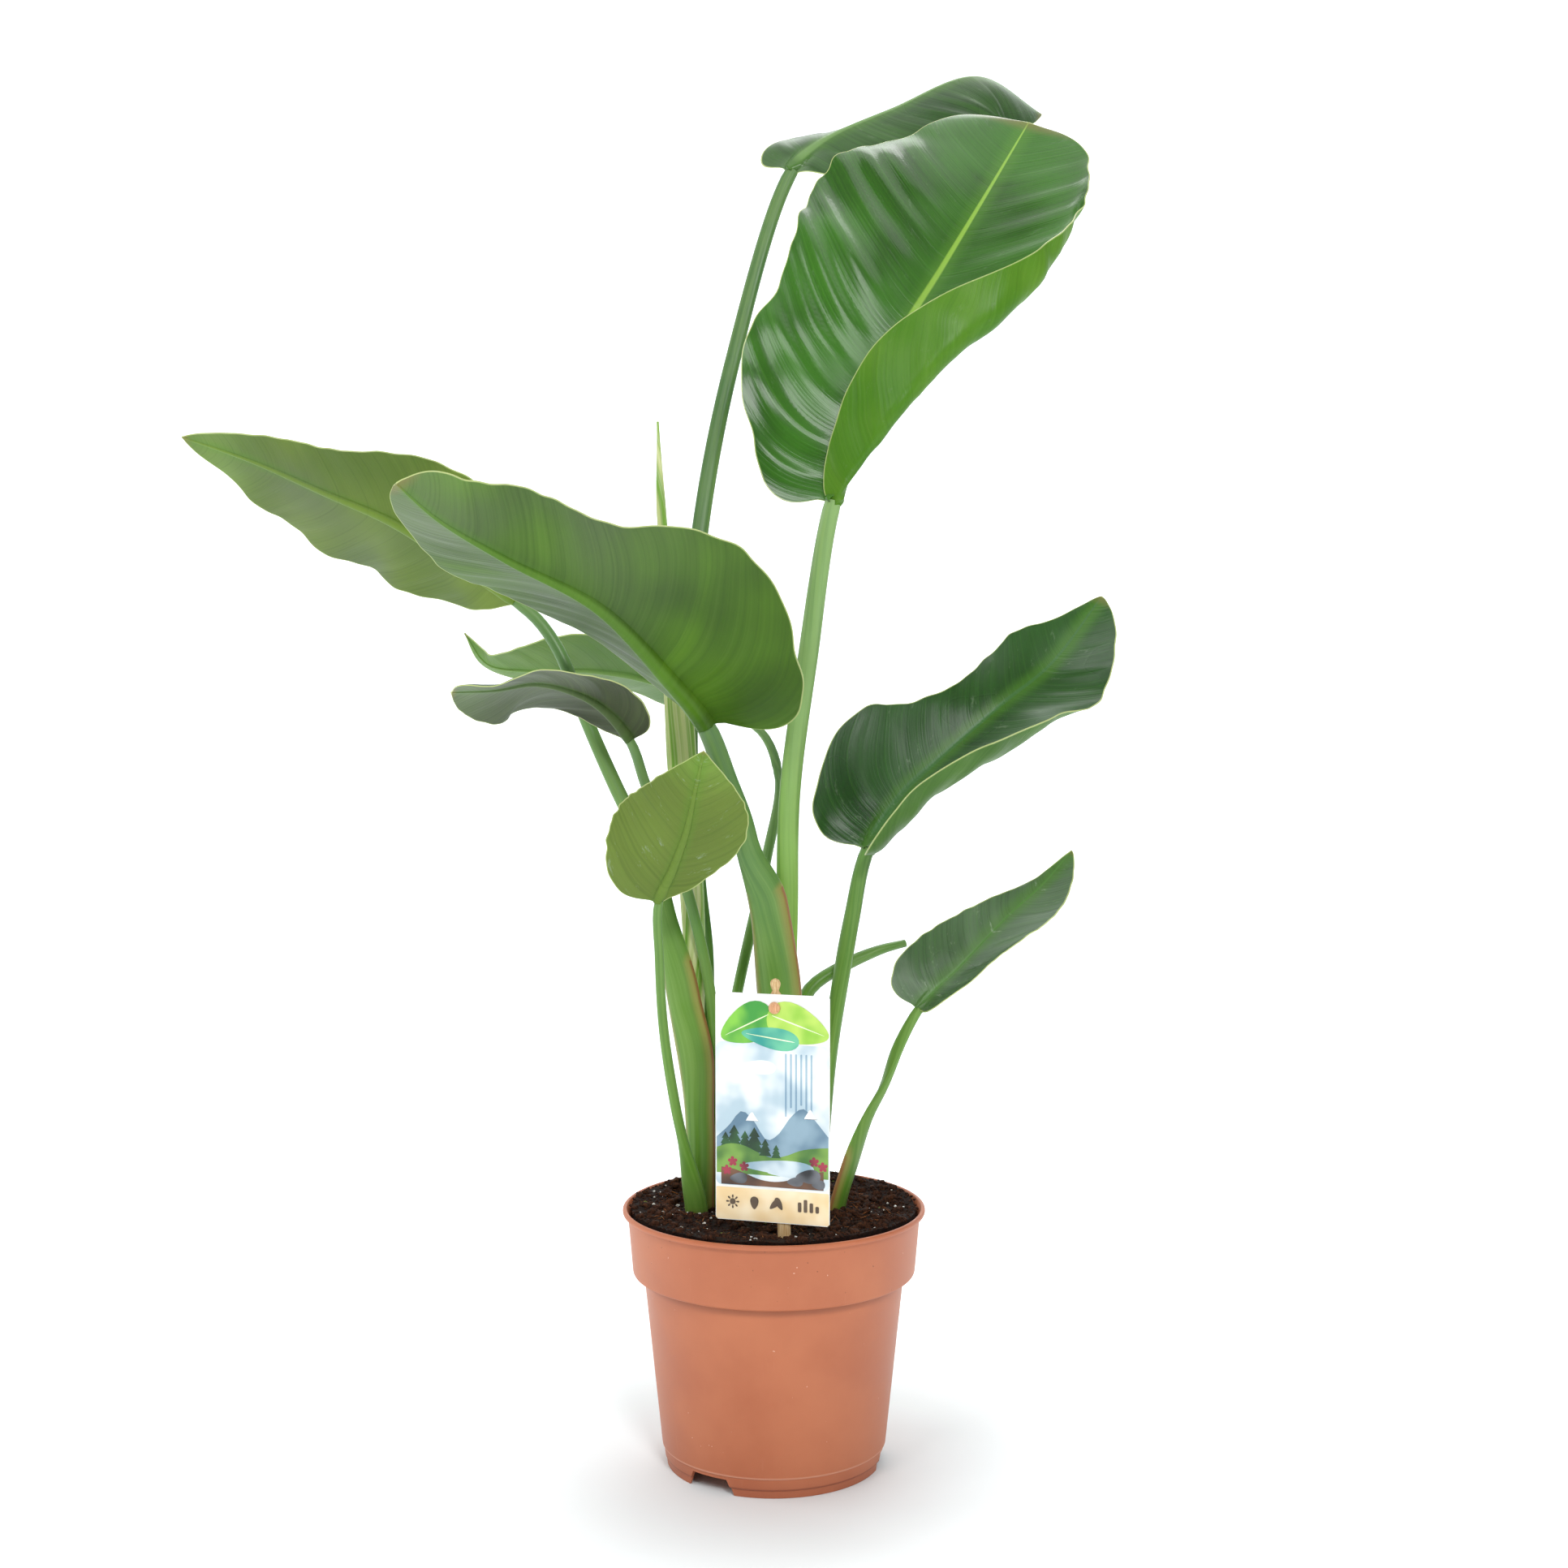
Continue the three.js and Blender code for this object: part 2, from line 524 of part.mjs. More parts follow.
// One row of a blade, as a ring: along the upper side from the left margin to the right one, and
// back along the lower side. The rib is a ridge, and fills the stalk's section where it begins.
function bladeRing(leaf, route, u) {
  const start = route.joint + JOINT_GAP;
  const distance = start + u * (route.total - start);
  const { along, facing, sideways } = axesAt(route, distance, mixDirection(leaf.face, u));
  const middle = route.curve.getPointAt(Math.min(1, distance / route.total));
  const [neck, , neckDepth] = leaf.section[leaf.section.length - 1].slice(1);
  const ribWidth = neck * (1 - u) + RIB_END;
  const ribUnder = neckDepth * (1 - u) ** 1.3 + RIB_END;
  const ribTop = neckDepth * Math.max(0, 1 - u / 0.12) ** 2 + BLADE_THICKNESS / 2;
  const columns = leaf.columns ?? BLADE_COLUMNS;
  const halves = { left: [], right: [] };
  for (const [name, side] of [['left', -1], ['right', 1]]) {
    const half = leaf[name];
    const width = halfWidth(leaf, half, u, neck);
    const section = halfSection(half, u);
    const lean = -leaf.lobe[side > 0 ? 1 : 0] * (1 - smooth(u / 0.3))
      + leaf.sweep * smooth((u - 0.1) / 0.5);
    const first = Math.min(ribWidth / width, 0.5);
    const [height, count, phase] = half.wave;
    const wave = height * Math.sin(2 * Math.PI * (count * u + phase)) * Math.sin(Math.PI * u) ** 0.6;
    for (let k = 0; k <= columns; k += 1) {
      const v = first + ((1 - first) * k) / columns;
      const { reach, rise, angle } = section(v);
      const beyond = Math.max(0, width * v - neck - 1.5);
      const slide = (lean * beyond * beyond) / (beyond + 6);
      const normal = sideways.clone().multiplyScalar(-side * Math.sin(angle))
        .addScaledVector(facing, Math.cos(angle));
      const point = middle.clone().addScaledVector(sideways, side * width * reach)
        .addScaledVector(facing, width * rise).addScaledVector(along, slide)
        .addScaledVector(normal, wave * v ** 1.6);
      halves[name].push({ point, normal });
    }
  }
  const row = [...halves.left.reverse(), null, ...halves.right];
  const offset = (entry, side) => {
    if (!entry) return middle.clone().addScaledVector(facing, side > 0 ? ribTop : -ribUnder);
    return entry.point.clone().addScaledVector(entry.normal, (side * BLADE_THICKNESS) / 2);
  };
  const upper = row.map((entry) => offset(entry, 1));
  const lower = row.map((entry) => offset(entry, -1)).reverse();
  return [...upper, ...lower];
}

// Rows lie closer where the outline turns fastest, at the base and at the tip
function blade(leaf) {
  const route = routeOf(leaf);
  const rings = [];
  for (let i = 0; i <= leaf.rows; i += 1) {
    const x = i / leaf.rows;
    rings.push(bladeRing(leaf, route, 0.3 * x + 0.7 * (0.5 - 0.5 * Math.cos(Math.PI * x))));
  }
  return loft(rings, true);
}

function lathe(profile, sides) {
  return new THREE.LatheGeometry(profile.map(([r, z]) => new THREE.Vector2(r, z)), sides)
    .rotateX(Math.PI / 2);
}

// Thin moulded shell: lip, collar, tapered body, notched skirt, drained floor and middle boss
function pot() {
  const t = POT_WALL;
  const shell = solidOf(lathe([
    [0, 0], [BOSS_RADIUS - 3, 0], [BOSS_RADIUS, FLOOR_HEIGHT], [SKIRT_RADIUS - t, FLOOR_HEIGHT],
    [SKIRT_RADIUS - t, 0], [SKIRT_RADIUS, 0], [SKIRT_RADIUS, SKIRT_HEIGHT],
    [SKIRT_RADIUS + 1.2, SKIRT_HEIGHT + 1], [BODY_FOOT_RADIUS - 0.6, LEDGE_HEIGHT - 1],
    [BODY_FOOT_RADIUS, LEDGE_HEIGHT], [BODY_TOP_RADIUS, BODY_TOP],
    [COLLAR_FOOT_RADIUS, COLLAR_FOOT], [COLLAR_TOP_RADIUS, POT_HEIGHT - LIP_HEIGHT],
    [RIM_RADIUS - 0.6, POT_HEIGHT - LIP_HEIGHT], [RIM_RADIUS, POT_HEIGHT - LIP_HEIGHT + 0.6],
    [RIM_RADIUS, POT_HEIGHT - 0.8], [RIM_RADIUS - 0.8, POT_HEIGHT],
    [RIM_RADIUS - 2.6, POT_HEIGHT], [COLLAR_TOP_RADIUS - t, POT_HEIGHT - LIP_HEIGHT - 2],
    [COLLAR_FOOT_RADIUS - t, COLLAR_FOOT + 1.2], [BODY_TOP_RADIUS - t, BODY_TOP + 1.2],
    [BODY_FOOT_RADIUS - t - 0.2, FLOOR_HEIGHT + t], [BOSS_RADIUS - t, FLOOR_HEIGHT + t],
    [BOSS_RADIUS - 3 - t, t], [0, t],
  ], POT_SIDES));
  const drain = new THREE.CylinderGeometry(DRAIN_RADIUS, DRAIN_RADIUS, 8, 10).rotateX(Math.PI / 2);
  let cutter = null;
  for (let k = 0; k < DRAIN_COUNT; k += 1) {
    const angle = (2 * Math.PI * (k + 0.5)) / DRAIN_COUNT;
    const place = [DRAIN_CIRCLE * Math.cos(angle), DRAIN_CIRCLE * Math.sin(angle), FLOOR_HEIGHT];
    const hole = solidOf(drain.clone().translate(...place));
    cutter = cutter ? cutter.add(hole) : hole;
  }
  const half = NOTCH_WIDTH / 2;
  const outline = new THREE.Shape([
    new THREE.Vector2(-half, -1), new THREE.Vector2(half, -1),
    new THREE.Vector2(half - 5, NOTCH_HEIGHT), new THREE.Vector2(5 - half, NOTCH_HEIGHT),
  ]);
  const notch = new THREE.ExtrudeGeometry(outline, { depth: 20, bevelEnabled: false })
    .rotateX(Math.PI / 2).rotateZ(Math.PI / 2).translate(62, 0, 0);
  for (let k = 0; k < NOTCH_COUNT; k += 1) {
    const angle = radians(NOTCH_FIRST_ANGLE + (360 * k) / NOTCH_COUNT);
    cutter = cutter.add(solidOf(notch.clone().rotateZ(angle)));
  }
  return geometryOf(shell.subtract(cutter));
}

// A crown with fleshy roots. room makes the same shape larger all round, for its hole in the soil.
function rootstock(stock, room = 0) {
  const [x, y] = stock.place;
  const crown = new THREE.SphereGeometry(1, 10, 6).rotateX(Math.PI / 2)
    .scale(stock.half[0] + room, stock.half[1] + room, CROWN_DEPTH + room)
    .translate(x, y, STALK_FOOT - CROWN_RISE);
  const slab = new THREE.BoxGeometry(80, 80, 60).translate(x, y, STALK_FOOT + 30 - GAP + room);
  let solid = solidOf(crown).subtract(solidOf(slab));
  for (const degrees of stock.roots) {
    const [dx, dy] = [Math.cos(radians(degrees)), Math.sin(radians(degrees))];
    const point = (out, z) => new THREE.Vector3(x + dx * out, y + dy * out, z);
    const route = new THREE.CatmullRomCurve3([
      point(2, STALK_FOOT - 18), point(ROOT_SPREAD * 0.5, STALK_FOOT - 42),
      point(ROOT_SPREAD * 0.7, (STALK_FOOT + ROOT_FOOT) / 2 - 8), point(ROOT_SPREAD, ROOT_FOOT),
    ]);
    const rings = [];
    for (let i = 0; i <= ROOT_STEPS; i += 1) {
      const t = i / ROOT_STEPS;
      const piece = { section: [[0, 1, 1, 1, 0], [1, 1, 1, 1, 0]] };
      const radius = ROOT_RADIUS * (1 - 0.65 * t) + room;
      const { facing, sideways } = axesAt({ curve: route, total: 1 }, t, vector([-dy, dx, 0.1]));
      const ring = [];
      for (let k = 0; k < 6; k += 1) {
        const angle = (Math.PI * k) / 3;
        ring.push(route.getPointAt(t).addScaledVector(facing, radius * Math.cos(angle))
          .addScaledVector(sideways, radius * Math.sin(angle)));
      }
      rings.push(ring);
    }
    solid = solid.add(solidOf(loft(rings, false)));
  }
  return solid;
}

// The filling: follows the pot's inside, mounded a little, with holes for stalks, roots and stake
function soil(stakeHole) {
  const t = POT_WALL + GAP;
  let solid = solidOf(lathe([
    [0, t], [BOSS_RADIUS - 3 - t, t], [BOSS_RADIUS - t, FLOOR_HEIGHT + t],
    [BODY_FOOT_RADIUS - t - 0.6, FLOOR_HEIGHT + t], [BODY_TOP_RADIUS - t - 0.2, BODY_TOP + 1.6],
    [COLLAR_FOOT_RADIUS - t - 0.2, COLLAR_FOOT + 1.6], [COLLAR_TOP_RADIUS - t - 0.8, SOIL_LEVEL],
    [85, SOIL_LEVEL + SOIL_MOUND * 0.6], [50, SOIL_LEVEL + SOIL_MOUND], [0, SOIL_LEVEL + SOIL_MOUND],
  ], POT_SIDES));
  for (const stock of ROOTSTOCKS) solid = solid.subtract(rootstock(stock, GAP));
  for (const [number, piece] of [...LEAVES, ...BARE_STALKS].entries()) {
    solid = solid.subtract(solidOf(stalk(piece, HOLE_ROOM, GAP + 0.25 * number)));
  }
  const bodies = solid.subtract(stakeHole).decompose();
  bodies.sort((a, b) => b.volume() - a.volume());
  return geometryOf(bodies[0]);
}

// A turned stick, flattened front to back, with a knob on top and a hole for the peg
function stakeShape(room = 0) {
  const r = STAKE_RADIUS + room;
  const knob = KNOB_RADIUS;
  const shape = lathe([
    [0, STAKE_BOTTOM - room], [r * 0.8, STAKE_BOTTOM + 12], [r, STAKE_BOTTOM + 20],
    [r, KNOB_HEIGHT - 8], [r * 0.45, KNOB_HEIGHT - 4.5], [knob * 0.8, KNOB_HEIGHT - 2.6],
    [knob, KNOB_HEIGHT], [knob * 0.75, KNOB_HEIGHT + 2.6], [0, KNOB_HEIGHT + knob],
  ], 12);
  return solidOf(shape.scale(1, STAKE_DEPTH, 1).rotateY(-radians(STAKE_TILT))
    .translate(0, CARD_THICKNESS / 2 + GAP + STAKE_RADIUS * STAKE_DEPTH + 0.1, 0));
}

function label() {
  const frame = new THREE.Group();
  frame.position.set(...PEG_PLACE);
  frame.rotation.z = radians(LABEL_TURN);
  frame.updateMatrix();
  const hole = new THREE.CylinderGeometry(PEG_RADIUS + PEG_ROOM, PEG_RADIUS + PEG_ROOM, 9, 10);
  const stake = stakeShape().subtract(solidOf(hole));
  add('label_stake', geometryOf(stake), BARE_WOOD, 0.7, frame);

  const corner = 1.5;
  const card = new THREE.Shape();
  card.moveTo(CARD_LEFT + corner, CARD_BOTTOM);
  card.lineTo(CARD_RIGHT - corner, CARD_BOTTOM);
  card.lineTo(CARD_RIGHT, CARD_BOTTOM + corner);
  card.lineTo(CARD_RIGHT, CARD_TOP - corner);
  card.lineTo(CARD_RIGHT - corner, CARD_TOP);
  card.lineTo(CARD_LEFT + corner, CARD_TOP);
  card.lineTo(CARD_LEFT, CARD_TOP - corner);
  card.lineTo(CARD_LEFT, CARD_BOTTOM + corner);
  card.holes.push(new THREE.Path().absarc(0, 0, PEG_RADIUS + PEG_ROOM, 0, 2 * Math.PI, true));
  const sheet = new THREE.ExtrudeGeometry(card, {
    depth: CARD_THICKNESS, bevelEnabled: false, curveSegments: 10,
  });
  sheet.rotateX(Math.PI / 2).translate(0, CARD_THICKNESS / 2, 0);
  add('label_card', geometryOf(solidOf(sheet)), CARD_WHITE, 0.35, frame);

  const front = CARD_THICKNESS / 2 + GAP;
  const peg = lathe([
    [0, -3.4], [PEG_RADIUS, -3.4], [PEG_RADIUS, front], [PEG_HEAD_RADIUS, front],
    [PEG_HEAD_RADIUS, front + 1], [PEG_HEAD_RADIUS * 0.7, front + 2.4], [0, front + 3],
  ], 12);
  add('label_peg', geometryOf(solidOf(peg.rotateX(Math.PI / 2))), PEG_WOOD, 0.6, frame);
  plant.add(frame);
  return solidOf(geometryOf(stakeShape(HOLE_ROOM)).applyMatrix4(frame.matrix));
}

add('pot', pot(), TERRACOTTA, 0.55);
add('soil', soil(label()), PEAT, 0.95);
for (const stock of ROOTSTOCKS) add(stock.name, geometryOf(rootstock(stock)), ROOT_CREAM, 0.7);
for (const leaf of LEAVES) {
  add(`${leaf.name}_stalk`, stalk(leaf), STALK_GREEN, 0.5);
  add(`${leaf.name}_blade`, blade(leaf), LEAF_GREEN, 0.35);
}
for (const piece of BARE_STALKS) {
  add(piece.name, stalk(piece), piece.name === 'spear' ? SPEAR_GREEN : STALK_GREEN, 0.5);
}

export default plant;
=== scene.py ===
import math

import bpy
import numpy as np
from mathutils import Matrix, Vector


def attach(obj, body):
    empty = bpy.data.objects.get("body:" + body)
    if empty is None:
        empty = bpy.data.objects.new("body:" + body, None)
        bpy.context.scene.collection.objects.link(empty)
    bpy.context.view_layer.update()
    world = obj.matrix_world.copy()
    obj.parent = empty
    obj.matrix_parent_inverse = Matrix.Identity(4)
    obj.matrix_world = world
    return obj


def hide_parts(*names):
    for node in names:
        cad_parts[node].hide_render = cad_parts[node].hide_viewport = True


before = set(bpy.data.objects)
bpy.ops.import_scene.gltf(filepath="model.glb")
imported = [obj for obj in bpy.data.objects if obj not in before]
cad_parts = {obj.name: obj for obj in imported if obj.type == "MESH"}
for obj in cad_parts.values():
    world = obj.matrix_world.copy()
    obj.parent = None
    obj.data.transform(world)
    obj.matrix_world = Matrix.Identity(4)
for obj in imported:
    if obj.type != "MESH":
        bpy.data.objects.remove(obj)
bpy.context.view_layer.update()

MM = 0.001

# Sizes of the pot and what fills it. FIT_GAP is the air between pieces that lie on each other.
RIM_RADIUS = 105
POT_HEIGHT = 180
POT_WALL = 1.6
POT_SEGMENTS = 160
LIP_HEIGHT = 3.6
COLLAR_TOP_RADIUS = 101.5
COLLAR_FOOT_RADIUS = 98
COLLAR_FOOT = 135
BODY_TOP_RADIUS = 90.3
BODY_TOP = 132.5
BODY_FOOT_RADIUS = 78
LEDGE_HEIGHT = 14
SKIRT_RADIUS = 74.8
SKIRT_HEIGHT = 5.4
FLOOR_HEIGHT = 13
BOSS_RADIUS = 30
BOSS_SLOPE = 3
DRAIN_COUNT = 8
DRAIN_RADIUS = 5
DRAIN_CIRCLE = 54
NOTCH_COUNT = 3
NOTCH_FIRST_ANGLE = -125
NOTCH_WIDTH = 38
NOTCH_HEIGHT = 11
NOTCH_SLOPE = 5
NOTCH_REACH = (62, 84)
SOIL_LEVEL = 177
SOIL_MOUND = 2.5
SOIL_BANK = 3.4
SOIL_RINGS = 44
SOIL_TURNS = 96
FIT_GAP = 0.35

# Sizes of the plant. BLADE_SHARE keeps the ragged margins inside the solids' box, and
# PATTERN_STEP sets each leaf's veins and spots apart from the next leaf's.
STALK_FOOT = 140
STALK_UPRIGHT = 176
STALK_REACH = 2.0
STALK_INSET = 0.93
STALK_STEP = 7
STALK_SIDES = 40
SPEAR_SIDES = 48
SPEAR_STEP = 0.07
SPEAR_TWIST = 900
JOINT_GAP = 0.3
BLADE_THICKNESS = 0.7
BLADE_SHARE = 0.984
BLADE_ROWS = 170
BLADE_COLUMNS = 30
RIB_END = 0.8
RIB_PLACES = (0.3, 0.6, 0.85, 1.0)
TIP_WIDTH = 1.4
TIP_TRIM = 0.3
TIP_LEAN = 0.25
FAR_INSIDE = 40
ROLL_SHARE = 0.3
ROLL_STEPS = 96
PLEAT_SPACING = 27
PLEAT_PEAK = 0.1055
RIPPLE_HEIGHT = 0.3
RIPPLE_LENGTH = 9
PATTERN_STEP = 0.37
ROUTE_STEPS = 60

# Sizes of the plant label
PEG_PLACE = (1, -76.5, 331.5)
LABEL_TURN = -16.3
CARD_LEFT = -41
CARD_RIGHT = 37.5
CARD_BOTTOM = -143.5
CARD_THICKNESS = 0.8
PRINT_MARGIN = 0.4
INK_LIFT = 0.05
INK_STEP = 0.02
STAKE_TILT = 2.1
STAKE_RADIUS = 4.5
STAKE_DEPTH = 0.5
STAKE_BOTTOM = -215
KNOB_RADIUS = 3.7
KNOB_HEIGHT = 15.5
PEG_RADIUS = 1.6
PEG_BACK = -3.4
PEG_HEAD_RADIUS = 4

# The studio: softboxes with their place, size and watts, in metres, and the camera
SOFTBOXES = [
    ("key_softbox", (0.6, -2.6, 2.2), 0.6, 37),
    ("fill_softbox", (-1.3, -2.1, 2.3), 0.7, 12),
    ("top_left_softbox", (-0.9, -0.9, 2.7), 0.7, 8),
    ("overhead_softbox", (0.1, 0.5, 2.6), 1.6, 8),
    ("rim_softbox", (0.3, 1.5, 2.5), 1.3, 10),
    ("left_strip", (-1.9, 0.3, 1.1), 0.8, 6),
]
LIGHT_AIM = (0, 0, 0.55)
ROOM_LIGHT = 0.34
CAMERA_PLACE = (0.007, -1.5175, 0.5797)
CAMERA_PITCH = 86
LENS = 50.84
SWEEP_FRONT = -4000
SWEEP_BACK = 2200
SWEEP_BEND = 900
SWEEP_TOP = 5200
SWEEP_SIDE = 5000

